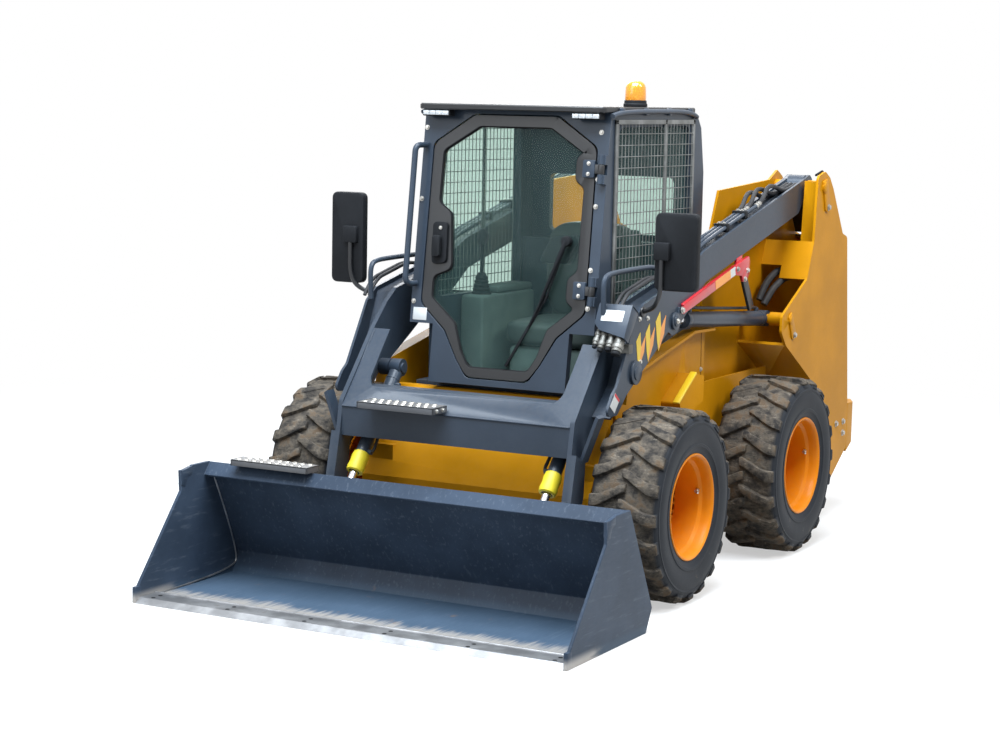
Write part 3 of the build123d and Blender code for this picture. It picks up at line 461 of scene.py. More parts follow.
class Shape:
    """A mesh in millimetres that grows solid by solid."""

    def __init__(self):
        self.bm = bmesh.new()

    def settle(self, verts, soft, segments=2):
        """Soften the edges of the solid just added."""
        if soft:
            chosen = set(verts)
            added = [e for e in self.bm.edges if e.verts[0] in chosen and e.verts[1] in chosen]
            edges = [e for e in added if len(e.link_faces) == 2 and e.calc_face_angle(0.0) > EDGE_ANGLE]
            bmesh.ops.bevel(
                self.bm, geom=edges, offset=soft, offset_type="OFFSET", segments=segments, profile=0.5,
                affect="EDGES", clamp_overlap=True, material=-1,
            )
        return self

    def slab(self, points, thickness, soft=1.5):
        """A flat outline of 3-D points, given a thickness along a vector."""
        face = self.bm.faces.new([self.bm.verts.new(p) for p in points])
        near = list(face.verts)
        grown = bmesh.ops.extrude_face_region(self.bm, geom=[face], use_keep_orig=True)["geom"]
        far = [v for v in grown if isinstance(v, bmesh.types.BMVert)]
        bmesh.ops.translate(self.bm, verts=far, vec=Vector(thickness))
        return self.settle(near + far, soft)

    def side_plate(self, outline, low_x, high_x, soft=1.5):
        """A plate with a (y, z) outline between two X planes."""
        return self.slab([(low_x, y, z) for y, z in outline], (high_x - low_x, 0, 0), soft)

    def block(self, low, high, soft=1.5, segments=2):
        """A box between two corners."""
        low, high = Vector(low), Vector(high)
        size = high - low
        place = Matrix.Translation((low + high) / 2) @ Matrix.Diagonal((*size, 1))
        verts = bmesh.ops.create_cube(self.bm, size=1, matrix=place)["verts"]
        return self.settle(verts, soft, segments)

    def rod(self, start, end, radius, sides=24, soft=0.0, end_radius=None):
        """A round bar, or a cone, between two points."""
        start, end = Vector(start), Vector(end)
        along = end - start
        place = Matrix.Translation((start + end) / 2) @ along.to_track_quat("Z", "Y").to_matrix().to_4x4()
        verts = bmesh.ops.create_cone(
            self.bm, cap_ends=True, segments=sides, radius1=radius,
            radius2=radius if end_radius is None else end_radius, depth=along.length, matrix=place,
        )["verts"]
        return self.settle(verts, soft)

    def ball(self, centre, radius, squash=(1, 1, 1), sides=24):
        """A ball or an egg."""
        place = Matrix.Translation(centre) @ Matrix.Diagonal((*squash, 1))
        bmesh.ops.create_uvsphere(
            self.bm, u_segments=sides, v_segments=sides // 2, radius=radius, matrix=place,
        )
        return self

    def lathe(self, profile, centre, axis, steps=64):
        """A profile of (along, radius) points spun about an axis."""
        axis = Vector(axis).normalized()
        out = axis.orthogonal().normalized()
        verts = [self.bm.verts.new(Vector(centre) + axis * a + out * r) for a, r in profile]
        edges = [self.bm.edges.new((verts[i], verts[(i + 1) % len(verts)])) for i in range(len(verts))]
        bmesh.ops.spin(
            self.bm, geom=verts + edges, cent=centre, axis=axis, dvec=(0, 0, 0), angle=2 * pi, steps=steps,
            use_merge=True, use_duplicate=False,
        )
        return self

    def pipe(self, points, radius, smooth=True, sides=3):
        """A tube along a route, with rounded bends."""
        curve = bpy.data.curves.new("route", "CURVE")
        curve.dimensions = "3D"
        curve.bevel_depth = radius
        curve.bevel_resolution = sides
        curve.use_fill_caps = True
        curve.resolution_u = 6
        spline = curve.splines.new("NURBS" if smooth else "POLY")
        spline.points.add(len(points) - 1)
        for point, place in zip(spline.points, points):
            point.co = (*place, 1.0)
        if smooth:
            spline.order_u = 3
            spline.use_endpoint_u = True
        holder = bpy.data.objects.new("route", curve)
        mesh = bpy.data.meshes.new_from_object(holder)
        self.bm.from_mesh(mesh)
        bpy.data.objects.remove(holder)
        bpy.data.curves.remove(curve)
        bpy.data.meshes.remove(mesh)
        return self

    def face_plate(self, outline, low, high, soft=1.5):
        """A plate with an (x, z) outline on the cab's sloped front, between two heights above it."""
        return self.slab([on_face(x, z, low) for x, z in outline], FACE_OUT * (high - low), soft)

    def face_ring(self, outer, inner, low, high, soft):
        """A plate on the cab's sloped front with an opening in it, between two heights above it."""
        edges = []
        for outline in (outer, inner):
            verts = [self.bm.verts.new(on_face(x, z, low)) for x, z in outline]
            edges += [self.bm.edges.new((verts[i - 1], verts[i])) for i in range(len(verts))]
        filled = bmesh.ops.triangle_fill(self.bm, use_beauty=True, edges=edges, normal=FACE_OUT)
        faces = [part for part in filled["geom"] if isinstance(part, bmesh.types.BMFace)]
        near = {vert for face in faces for vert in face.verts}
        grown = bmesh.ops.extrude_face_region(self.bm, geom=faces, use_keep_orig=True)["geom"]
        far = [part for part in grown if isinstance(part, bmesh.types.BMVert)]
        bmesh.ops.translate(self.bm, verts=far, vec=FACE_OUT * (high - low))
        return self.settle(list(near) + far, soft)

    def bolt(self, place, normal, size=8.0, washer=True):
        """A hex bolt head on its washer, standing on a surface."""
        place, normal = Vector(place), Vector(normal).normalized()
        if washer:
            self.rod(place - normal, place + normal * 2.2, size * 1.35, 20)
        return self.rod(place, place + normal * (2.2 + size * 0.75), size, 6, 0.8)

    def mirrored(self):
        """The same shape on both sides of the machine."""
        source = self.bm.verts[:] + self.bm.edges[:] + self.bm.faces[:]
        made = bmesh.ops.duplicate(self.bm, geom=source)["geom"]
        verts = [v for v in made if isinstance(v, bmesh.types.BMVert)]
        bmesh.ops.scale(self.bm, verts=verts, vec=(-1, 1, 1))
        return self

    def turned(self, centre, axis, angles):
        """Copies of the whole shape, turned about an axis."""
        source = self.bm.verts[:] + self.bm.edges[:] + self.bm.faces[:]
        for angle in angles:
            made = bmesh.ops.duplicate(self.bm, geom=source)["geom"]
            verts = [v for v in made if isinstance(v, bmesh.types.BMVert)]
            bmesh.ops.rotate(self.bm, verts=verts, cent=centre, matrix=Matrix.Rotation(angle, 3, axis))
        return self

    def moved(self, change):
        """Every corner moved by a function."""
        for vert in self.bm.verts:
            vert.co = change(vert.co)
        return self

    def tidy(self):
        """Merge doubles and point the faces outwards."""
        bmesh.ops.remove_doubles(self.bm, verts=self.bm.verts, dist=0.01)
        bmesh.ops.recalc_face_normals(self.bm, faces=self.bm.faces)

    def piece(self, name, body, slot, material=None, stands_for=(), smooth=EDGE_ANGLE):
        """Turn the shape into a piece of the scene that rides on a body."""
        self.tidy()
        bmesh.ops.scale(self.bm, verts=self.bm.verts, vec=(MM, MM, MM))
        mesh = bpy.data.meshes.new(name)
        self.bm.to_mesh(mesh)
        self.bm.free()
        mesh.shade_smooth()
        mesh.set_sharp_from_angle(angle=smooth)
        mesh.materials.append(material or finishes[slot])
        made = bpy.data.objects.new(name, mesh)
        bpy.context.scene.collection.objects.link(made)
        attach(made, body)
        if stands_for:
            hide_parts(*stands_for)
        return made


def softened(node, width):
    """A CAD node's own form with its hard edges taken off."""
    source = frame["nodes"][node]
    shape = Shape()
    shape.bm.from_mesh(source.data)
    bmesh.ops.scale(shape.bm, verts=shape.bm.verts, vec=(1 / MM, 1 / MM, 1 / MM))
    bmesh.ops.remove_doubles(shape.bm, verts=shape.bm.verts, dist=0.05)
    bmesh.ops.dissolve_limit(
        shape.bm, angle_limit=radians(1.0), verts=shape.bm.verts, edges=shape.bm.edges, delimit={"NORMAL"}
    )
    shape.settle(shape.bm.verts, width, 1)
    return shape


# Finishes on every node of the model, by its slot in the record
node_slot = {row["node"]: row["material_slot"] for row in frame["record"]["subparts"]}
bodies = frame["record"]["behaviour"]["bodies"]
node_body = {node: body for body, nodes in bodies.items() for node in nodes}
for node, holder in frame["nodes"].items():
    holder.data.materials.clear()
    holder.data.materials.append(finishes[node_slot[node]])

soft_nodes = {
    "chassis_frame": 2.0, "tower_left": 2.0, "tower_right": 2.0, "engine_hood": 2.0, "rear_bumper": 3.0,
    "cab_frame": 3.0, "cab_roof": 5.0, "arm_left": 2.0, "arm_right": 2.0, "cross_beam": 2.5, "bucket": 2.0,
    "quick_coupler": 1.5, "rear_door": 2.0, "cutting_edge": 1.5,
}
for node, width in soft_nodes.items():
    softened(node, width).piece(node + "_body", node_body[node], node_slot[node], stands_for=(node,))

# Wheels: tyres with slanted lugs, dished rims, nuts and valves
wheel_names = {(1, -1): "front_left", (-1, -1): "front_right", (1, 1): "rear_left", (-1, 1): "rear_right"}


def tread_lug(side):
    """One slanted lug, shoulder to just past the middle, unrolled: x across, y around, z out."""
    lug = Shape()
    lug.block((-12, -LUG_HALF_WIDTH, -8), (LUG_REACH, LUG_HALF_WIDTH, LUG_TOP), 0)
    long_edges = [e for e in lug.bm.edges if abs(e.verts[0].co.x - e.verts[1].co.x) > 100]
    bmesh.ops.subdivide_edges(lug.bm, edges=long_edges, cuts=6, use_grid_fill=True)
    sharp_edges = [e for e in lug.bm.edges if e.calc_face_angle(0.0) > EDGE_ANGLE]
    top_edges = [e for e in sharp_edges if max(v.co.z for v in e.verts) > LUG_TOP - 4]
    bmesh.ops.bevel(
        lug.bm, geom=top_edges, offset=5, offset_type="OFFSET", segments=2, profile=0.5, affect="EDGES",
        clamp_overlap=True, material=-1,
    )

    def shape_up(point):
        across = point.x
        swing = LUG_SWING * (1 - min(1.0, max(0.0, across / LUG_SHOULDER))) ** 1.15
        narrow = 0.74 + 0.30 * min(1.0, max(0.0, across / LUG_REACH))
        spread = 1.22 if point.z < 0 else 1.0
        shoulder = max(0.0, across - LUG_SHOULDER)
        height = point.z - shoulder * shoulder * 0.019
        return Vector((across * side, point.y * narrow * spread + swing, height))

    return lug.moved(shape_up)


def wrapped(shape, centre):
    """Roll an unrolled shape onto the carcass, with its height worn unevenly."""

    def roll(point):
        wear = noise.noise(Vector((point.x * 0.02, point.y * 0.03, centre[1] * 0.01))) * 1.6
        radius = CARCASS_RADIUS - 4 + max(-16.0, point.z) + (wear - 1.2 if point.z > 6 else 0.0)
        angle = point.y / TREAD_RADIUS
        around = Vector((point.x, sin(angle) * radius, cos(angle) * radius))
        return Vector(centre) + around

    return shape.moved(roll)


def build_tyre(side, end, place):
    """A lugged tyre with a stepped sidewall."""
    centre = (side * (TYRE_INNER_X + TYRE_WIDTH / 2), end * WHEEL_Y, WHEEL_Z)
    half = TYRE_WIDTH / 2
    outer = [
        (half - 26, BEAD_RADIUS), (half - 17, 219), (half - 12, 231), (half - 9, 246), (half - 3, 252),
        (half - 2, 262), (half - 5, 266), (half - 1.5, 288), (half, 312), (half - 1, 330), (half - 4, 344),
        (half - 2.4, 347), (half - 2.8, 352), (half - 5.5, 354), (half - 9, 364), (half - 17, 375),
        (half - 32, 381), (half - 70, 383.5),
    ]
    profile = outer + [(0, CARCASS_RADIUS)] + [(-a, r) for a, r in reversed(outer)]
    tyre = Shape()
    for hand in (1, -1):
        lug = wrapped(tread_lug(hand), centre)
        shift = 0.0 if hand == 1 else LUG_PITCH / 2
        lug.turned(centre, "X", [shift + LUG_PITCH * i for i in range(1, LUGS)])
        if shift:
            first = lug.bm.verts[:len(lug.bm.verts) // LUGS]
            bmesh.ops.rotate(lug.bm, verts=first, cent=centre, matrix=Matrix.Rotation(shift, 3, "X"))
        part = bpy.data.meshes.new("lugs")
        lug.bm.to_mesh(part)
        lug.bm.free()
        tyre.bm.from_mesh(part)
        bpy.data.meshes.remove(part)
    tyre.lathe(profile, centre, (side, 0, 0), 96)
    wheel = "wheel_" + place
    return tyre.piece("tyre_body_" + place, wheel, "tyre_rubber", None, ("tyre_" + place,), radians(34))


def build_rim(side, end, place):
    """A dished steel rim with its flanges, drop centre, disc, hub and wheel nuts."""
    axle = Vector((0, end * WHEEL_Y, WHEEL_Z))
    out = TYRE_INNER_X + TYRE_WIDTH - 11
    back = TYRE_INNER_X + 11
    barrel = [
        (out - 3, 223), (out, 221), (out + 0.5, 217), (out - 4, 210), (out - 10, 206), (out - 30, 203),
        (out - 44, 200), (out - 56, 188), (out - 72, 184), (out - 158, 183), (out - 174, 188),
        (out - 178, 192), (out - 179, 206), (back + 10, 206), (back - 0.5, 217), (back, 222),
        (back + 3, 223), (back + 7, 214), (out - 7, 214),
    ]
    disc_x = out - RIM_DISC_INSET
    disc_steps = [
        (0, 188), (3, 174), (14, 160), (20, 140), (20, 116), (10, 104), (8, 72), (34, 66), (42, 58),
        (44, 40), (44, 0.01), (-30, 0.01), (-30, 70), (-2, 76), (-2, 106), (9, 118), (9, 138), (3, 156),
        (-8, 172), (-10, 188),
    ]
    disc = [(disc_x + along, radius) for along, radius in disc_steps]
    rim = Shape()
    rim.lathe(barrel, axle, (side, 0, 0), 96)
    rim.lathe(disc, axle, (side, 0, 0), 96)
    rim.piece("rim_body_" + place, "wheel_" + place, "rim_yellow", None, ("rim_" + place,), radians(30))
    nuts = Shape()
    foot = Vector((side * (disc_x + 9), axle.y, axle.z + NUT_CIRCLE))
    nuts.bolt(foot, (side, 0, 0), 13)
    nuts.rod(foot, foot + Vector((side * 21, 0, 0)), 7, 16)
    nuts.turned(axle, "X", [2 * pi * i / WHEEL_NUTS for i in range(1, WHEEL_NUTS)])
    nuts.piece("wheel_nuts_" + place, "wheel_" + place, "rod_chrome", bolt_zinc)
    valve = Shape()
    tip = Vector((side * (out - 60), axle.y + 168, axle.z + 34))
    valve.rod(tip + Vector((0, 16, 4)), tip, 9, 16, 1.0)
    valve.rod(tip, tip - Vector((side * -14, 14, 2)), 4.5, 12, 0.8)
    valve.piece("valve_" + place, "wheel_" + place, "rod_chrome", bolt_zinc)


for (side, end), place in wheel_names.items():
    build_tyre(side, end, place)
    build_rim(side, end, place)

# Bucket: wear strip with its bolt holes, weld line, side cutters and the grip step
bucket_trim = Shape()
for side in (-1, 1):
    low_x, high_x = sorted((side * (BUCKET_HALF - 16), side * (BUCKET_HALF + 0.7)))
    bucket_trim.side_plate([(-1880, 1), (-1880, 66), (-1842, 66), (-1842, 1)], low_x, high_x, 2)
    bucket_trim.side_plate(
        rounded([(-1500, 512), (-1566, 500), (-1574, 440), (-1545, 430), (-1530, 470), (-1500, 478)], 8),
        low_x, high_x, 2,
    )
bucket_trim.piece("bucket_side_cutters", "bucket", "bucket_paint")
weld = Shape()
weld.pipe([(-970, -1752, 22), (-300, -1752, 22.5), (300, -1752, 22), (970, -1752, 22)], 4.5)
for side in (-1, 1):
    seam = side * (BUCKET_HALF - 15)
    weld.pipe([(seam, -1750, 12), (seam, -1206, 12), (seam, -1160, 96), (seam, -1372, 500)], 4.0)
weld.piece("bucket_weld_beads", "bucket", "worn_steel")
# The bolt holes are flat black discs: painted shade in place of the dark inside of each hole.
holes = Shape()
for i in range(6):
    hole_x = -915 + 366 * i
    for hole_y in (-1836, -1790):
        holes.rod((hole_x, hole_y, 20), (hole_x, hole_y, 22.6), 9, 20)
holes.piece("edge_bolt_holes", "bucket", "black_metal", gasket_and_hole_shade_black)

# Cab door: black border with its bulges, gasket, hinges, handle and wiper
HINGE_X, HINGE_OUT, HINGE_RADIUS, HINGE_HALF = 430.0, 20.5, 14.0, 20.0
HINGE_HEIGHTS = (1262.0, 1770.0)


def door_edge(margin):
    """The right half of the door's outline, shrunk by a margin, from the top down."""
    return [
        (204 - margin * 0.6, CAB_TOP - 15 - margin), (398 - margin, CAB_TOP - 143 - margin * 0.6),
        (402 - margin, 1165 + margin * 0.5), (275 - margin, 1055 + margin * 0.5), (205 - margin * 0.8, 935),
        (150 - margin * 0.6, 858 + margin),
    ]


def other_half(points):
    """The left half that goes with the right half of an outline, from the bottom up."""
    return [(-x, z) for x, z in reversed(points)]


right_edge = door_edge(52)
hinge_bulges = []
for z in reversed(HINGE_HEIGHTS):
    hinge_bulges += [(347, z + 78), (304, z + 45), (304, z - 48), (348, z - 78)]
handle_bulge = [(-350, 1288), (-262, 1322), (-285, 1560), (-349, 1602)]
left_edge = other_half(right_edge)
foot = [(226, 1088), (187, 972), (146, 904)]
opening = right_edge[:2] + hinge_bulges + foot
opening += other_half(foot) + left_edge[3:4] + handle_bulge + left_edge[4:]
opening = rounded(opening, 38, 5)
border = Shape()
border.face_ring(rounded(door_edge(6) + other_half(door_edge(6)), 60, 6), opening, -34, 0, 3.5)
hinge_way = Vector((0, CAB_LEAN, 1)).normalized()
for z in HINGE_HEIGHTS:
    knuckle = Vector((HINGE_X, cab_face(z) - HINGE_OUT, z))
    border.rod(knuckle - hinge_way * HINGE_HALF, knuckle + hinge_way * HINGE_HALF, HINGE_RADIUS, 24, 1.5)
    border.face_plate([(358, z + 19), (430, z + 19), (430, z - 19), (358, z - 19)], 6.5, 16.5, 1.5)
    border.face_plate([(346, z + 34), (384, z + 34), (384, z - 34), (346, z - 34)], -2, 17, 2)
border.piece("door_border", "cab_door", "black_metal", None, ("door_frame",))
seal = Shape()
seal.pipe([on_face(x, z, -9) for x, z in opening + opening[:1]], 5.5, False, 2)
seal.piece("door_gasket", "cab_door", "black_plastic", gasket_and_hole_shade_black)
leaves = Shape()
for z in HINGE_HEIGHTS:
    leaves.face_plate(rounded([(342, z + 37), (398, z + 37), (398, z - 37), (342, z - 37)], 8), 0, 19, 2.5)
leaves.piece("door_hinge_blocks", "cab_door", "slate_blue")
screws = Shape()
for z in HINGE_HEIGHTS:
    for rise in (-22, 22):
        screws.bolt(on_face(370, z + rise, 19), FACE_OUT, 6.5)
screws.bolt(on_face(-322, 1494, 14), FACE_OUT, 6)
screws.piece("door_screws", "cab_door", "rod_chrome", bolt_zinc)
grip = Shape()
grip.face_plate(rounded([(-363, 1520), (-290, 1520), (-284, 1345), (-357, 1335)], 22), 0, 14, 4)
grip.face_plate(rounded([(-350, 1460), (-310, 1460), (-306, 1368), (-346, 1364)], 14), 14, 40, 6)
grip.piece("door_grip", "cab_door", "black_plastic")
wiper = Shape()
wiper.rod(on_face(290, 1465, -8), on_face(290, 1465, 24), 22, 28, 3)
wiper.rod(on_face(290, 1465, 17), on_face(192, 1205, 12), 11, 16, 1.5, 7)
wiper.rod(on_face(192, 1205, 12), on_face(140, 1098, 3), 5, 12)
wiper.rod(on_face(292, 1458, 10), on_face(206, 1200, 6), 4, 12)
wiper.face_plate([(209, 1238), (221, 1232), (47, 920), (36, 926)], -6, 3, 2)
wiper.face_plate([(214, 1236), (217, 1234), (43, 922), (40, 924)], -11.5, -5, 0.5)
wiper.piece("wiper_arm_and_blade", "cab_door", "black_plastic", None, ("wiper",))
motor = Shape()
motor.face_plate(rounded([(200, 1482), (344, 1500), (290, 1372), (150, 1372)], 14), -66, -20, 6)
motor.piece("wiper_motor_cover", "cab_door", "black_plastic")

# Cab front: frame bolts, blank label, and the mesh screens beside the windows
cab_bolts = Shape()
for x, heights in ((-436, (1925, 1616, 1172)), (409, (1924, 1729, 1615, 1350, 1190))):
    for z in heights:
        cab_bolts.bolt(on_face(x, z), FACE_OUT, 8)
cab_bolts.piece("cab_front_bolts", "root", "rod_chrome", bolt_zinc)
plate = Shape()
plate.face_plate([(-434, 1146), (-366, 1146), (-366, 1092), (-434, 1092)], 0.2, 1.4, 0.3)
plate.piece("cab_blank_label", "root", "lamp_lens", white_label)
SCREEN_LOW, SCREEN_HIGH, SCREEN_FRONT, SCREEN_REAR = 1150.0, 1978.0, -478.0, 340.0
WIRE_RADIUS, WIRE_STEP_Y, WIRE_STEP_Z = 1.9, 33.0, 48.0
for side, hand in SIDES:
    screen = Shape()
    low_x, high_x = sorted((side * CAB_HALF, side * (CAB_HALF + 10)))
    for low_y, high_y in ((SCREEN_FRONT, SCREEN_FRONT + 20), (SCREEN_REAR - 20, SCREEN_REAR), (18, 36)):
        screen.block((low_x, low_y, SCREEN_LOW), (high_x, high_y, SCREEN_HIGH), 2)
    for low_z, high_z in ((SCREEN_LOW, SCREEN_LOW + 20), (SCREEN_HIGH - 20, SCREEN_HIGH)):
        screen.block((low_x, SCREEN_FRONT, low_z), (high_x, SCREEN_REAR, high_z), 2)
    wire_x = side * (CAB_HALF + 5)
    for i in range(1, int((SCREEN_REAR - SCREEN_FRONT) / WIRE_STEP_Y) + 1):
        y = SCREEN_FRONT + WIRE_STEP_Y * i
        screen.rod((wire_x, y, SCREEN_LOW + 8), (wire_x, y, SCREEN_HIGH - 8), WIRE_RADIUS, 8)
    for i in range(1, int((SCREEN_HIGH - SCREEN_LOW) / WIRE_STEP_Z) + 1):
        z = SCREEN_LOW + WIRE_STEP_Z * i
        wire_out = wire_x + side * WIRE_RADIUS * 1.8
        screen.rod((wire_out, SCREEN_FRONT + 8, z), (wire_out, SCREEN_REAR - 8, z), WIRE_RADIUS, 8)
    screen.piece("side_screen_mesh_" + hand, "root", "black_metal", wire_grey, ("screen_" + hand,))

# Roof rails, lamps and beacon
rails = Shape()
rails.pipe([(459, -520, 1992), (460, -470, 2010), (460, 0, 2014), (460, 300, 2012), (459, 352, 1990)], 11)
for y in (-420, -180, 60, 290):
    rails.block((440, y - 14, 1996), (463, y + 14, 2027), 3)
rails.mirrored()
rails.piece("roof_rails", "root", "slate_blue")
lamp_cases = Shape()
lamp_faces = Shape()
CAB_LAMP_X, CAB_LAMP_HALF = 361, 68
for side in (-1, 1):
    low_x, high_x = side * CAB_LAMP_X - CAB_LAMP_HALF, side * CAB_LAMP_X + CAB_LAMP_HALF
    lamp_cases.block((low_x, -576, 1976), (high_x, -528, 2005), 5)
    for i in range(4):
        lamp_faces.block((low_x + 6 + 31.5 * i, -581, 1981), (low_x + 35.5 + 31.5 * i, -570, 2000), 2)
rear_out = Vector((0, 838, 97)).normalized()
rear_down = Vector((0, 97, -838)).normalized()
REAR_LAMP_X, REAR_LAMP_Z = 610.0, 900.0
REAR_LAMP_Y = 1719 - (REAR_LAMP_Z - 567) * 97 / 838


def rear_lamp_part(shape, side, half_x, half_z, low, depth, shift, soft):
    """A flat box on the sloped back of one tower, between two heights above it."""
    middle = Vector((side * REAR_LAMP_X, REAR_LAMP_Y, REAR_LAMP_Z)) + rear_out * low + rear_down * shift
    corners = [
        middle + Vector((a * half_x, 0, 0)) + rear_down * (b * half_z)
        for a, b in CORNER_SIGNS
    ]
    shape.slab(corners, rear_out * depth, soft)


tails = Shape()
for side in (-1, 1):
    rear_lamp_part(lamp_cases, side, 45, 75, 0, 16, 0, 4)
    rear_lamp_part(lamp_faces, side, 37, 26, 14, 8, 40, 4)
    rear_lamp_part(tails, side, 37, 34, 14, 8, -26, 3)
lamp_cases.piece("lamp_cases", "root", "black_plastic", None, ("lamps",))
lamp_faces.piece("lamp_faces", "root", "lamp_lens")
tails.piece("tail_lamp_faces", "root", "lamp_lens", tail_red)
BEACON = (385.0, -145.0, ROOF_TOP)
beacon_base = Shape()
beacon_base.lathe(
    [(0, 0.01), (0, 51), (3, 52), (12, 52), (16, 49), (27, 48), (30, 44), (30, 0.01)], BEACON, (0, 0, 1), 48
)
beacon_base.piece("beacon_base", "root", "black_plastic", None, ("beacon",))
dome = Shape()
dome.lathe(
    [(28, 0.01), (28, 45), (32, 46), (58, 45.5), (84, 44), (96, 40), (106, 31), (112, 18), (114.5, 0.01)],
    BEACON, (0, 0, 1), 48,
)
dome.piece("beacon_dome", "root", "beacon_amber", None, ("beacon",), radians(60))


# Cab inside: seat with its pads, consoles with levers and boots
def pad(low, high, name, puff=5.0):
    """A crowned seat pad, whose sides pull in towards the corners."""
    low, high = Vector(low), Vector(high)
    centre, half = (low + high) / 2, (high - low) / 2
    shape = Shape()
    shape.block(low, high, 0)
    bmesh.ops.subdivide_edges(shape.bm, edges=shape.bm.edges[:], cuts=13, use_grid_fill=True)

    def swell(point):
        share = [(point[i] - centre[i]) / half[i] for i in range(3)]
        reach = sum(abs(part) ** puff for part in share) ** (1 / puff)
        return Vector([centre[i] + share[i] / reach * half[i] for i in range(3)])

    shape.moved(swell)
    made = shape.piece(name, "root", "seat_vinyl", None, ("seat",), radians(60))
    return made


pad((-240, -200, 952), (240, 280, 1075), "seat_cushion")
pad((-225, 200, 1050), (225, 325, 1500), "seat_back_cushion", 4.0)
shell = Shape()
shell.block((-200, -175, 612), (200, 215, 955), 24, 3)
shell.block((-215, 262, 1000), (215, 335, 1470), 22, 3)
shell.piece("seat_shell", "root", "black_plastic", console_grey, ("seat",))
boxes = Shape()
boxes.block((276, -280, 612), (394, 220, 1180), 18, 3)
boxes.block((284, -120, 1180), (390, 210, 1212), 12, 3)
boxes.mirrored()
boxes.piece("console_boxes", "root", "black_plastic", console_grey, ("consoles",))
levers = Shape()
boot = [(1178, 0.01), (1178, 46)]
for i in range(5):
    boot += [(1186 + 17 * i, 44 - 3.5 * i), (1194 + 17 * i, 37 - 3.5 * i)]
boot += [(1276, 16), (1276, 0.01)]
levers.lathe(boot, (335, -190, 0), (0, 0, 1), 32)
levers.rod((335, -190, 1260), (335, -186, 1410), 9, 16)
levers.ball((335, -184, 1436), 26, (1, 1.1, 1.5))
levers.mirrored()
levers.piece("lever_boots_and_grips", "root", "black_plastic", None, ("consoles",))

# Mirrors: moulded housings on bent tubes
housings = Shape()
stalks = Shape()
faces = Shape()
MIRROR_FRONT, MIRROR_DEPTH = -628, 44
MIRRORS = ((1, 810, 1447, 190, 320), (-1, 776, 1434, 165, 400))
for side, x, z, width, height in MIRRORS:
    centre_x = side * x
    corners = [(centre_x + a * width / 2, z + b * height / 2) for a, b in CORNER_SIGNS]
    outline = rounded(corners, 30, 6)
    housings.slab([(a, MIRROR_FRONT, b) for a, b in outline], (0, MIRROR_DEPTH, 0), 9)
    inset = [(centre_x + (a - centre_x) * 0.88, z + (b - z) * 0.93) for a, b in outline]
    faces.slab([(a, MIRROR_FRONT + MIRROR_DEPTH + 1, b) for a, b in inset], (0, 3, 0), 0.8)
    low_x, high_x = sorted((side * 718, side * 788))
    housings.block((low_x, -648, 1412), (high_x, -620, 1486), 6)
    tube = side * 752
    stalks.pipe(
        [(side * 650, -600, 1192), (side * 690, -606, 1200), (side * 735, -630, 1232), (tube, -637, 1290),
         (tube, -637, 1360), (tube, -637, 1440)], 10,
    )
    stalks.rod((side * 654, -600, 1192), (side * 664, -600, 1192), 22, 24, 2)
housings.piece("mirror_housings", "arms", "black_plastic", None, ("mirrors",))
stalks.piece("mirror_stalks", "arms", "black_metal", None, ("mirrors",))
faces.piece("mirror_faces", "arms", "rod_chrome", mirror_glass)

# Auxiliary coupler guard, with its couplers and a blank label
guard_out = Vector((0, -0.86, 0.5)).normalized()
guard_up = Vector((0, 0.5, 0.86)).normalized()


def guard_point(across, up, out):
    """A point on the guard, from its middle on the arm."""
    return Vector((606 + across, -725.2, 1132.6)) + guard_up * up + guard_out * out


guard = Shape()
guard_outline = [(-75, 75), (75, 75), (75, -75), (-47, -45), (-75, -15)]
guard.slab([guard_point(a, b, 62) for a, b in guard_outline], guard_out * 8, 2)
guard.slab([guard_point(75, b, c) for b, c in ((75, 0), (75, 66), (-75, 66), (-75, 20))], (-8, 0, 0), 1.5)
guard.slab([guard_point(-75, b, c) for b, c in ((75, 0), (75, 66), (-15, 66), (-30, 0))], (8, 0, 0), 1.5)
guard.slab([guard_point(a, 75, c) for a, c in ((-75, 0), (75, 0), (75, 66), (-75, 66))], guard_up * -8, 1.5)
guard.piece("coupler_guard", "arms", "slate_blue", None, ("coupler_block",))
plate = Shape()
label_corners = ((-50, 46), (48, 46), (48, -4), (-50, -4))
plate.slab([guard_point(a, b, 70.2) for a, b in label_corners], guard_out * 1.2, 0.3)
plate.piece("guard_blank_label", "arms", "lamp_lens", white_label)
COUPLERS = ((-58, 12, 104), (-30, 14, 118), (6, 15, 112), (44, 21, 128))
couplers = Shape()
for across, radius, reach in COUPLERS:
    start = guard_point(across, -20, 34)
    end = guard_point(across, -reach, 46)
    way = (end - start).normalized()
    couplers.rod(start, end, radius, 24, 1.5)
    couplers.rod(start + way * 24, start + way * 40, radius + 4, 6, 1.5)
    couplers.rod(end - way * 30, end - way * 12, radius + 3.5, 24, 2)
couplers.block((545, -742, 1030), (668, -706, 1068), 4)
couplers.piece("aux_couplers", "arms", "rod_chrome", dull_zinc)
plugs = Shape()
for across, radius, reach in COUPLERS:
    end = guard_point(across, -reach, 46)
    plugs.rod(end, end - guard_up * 14, radius - 2, 20, 3)
plugs.piece("coupler_dust_plugs", "arms", "black_plastic")

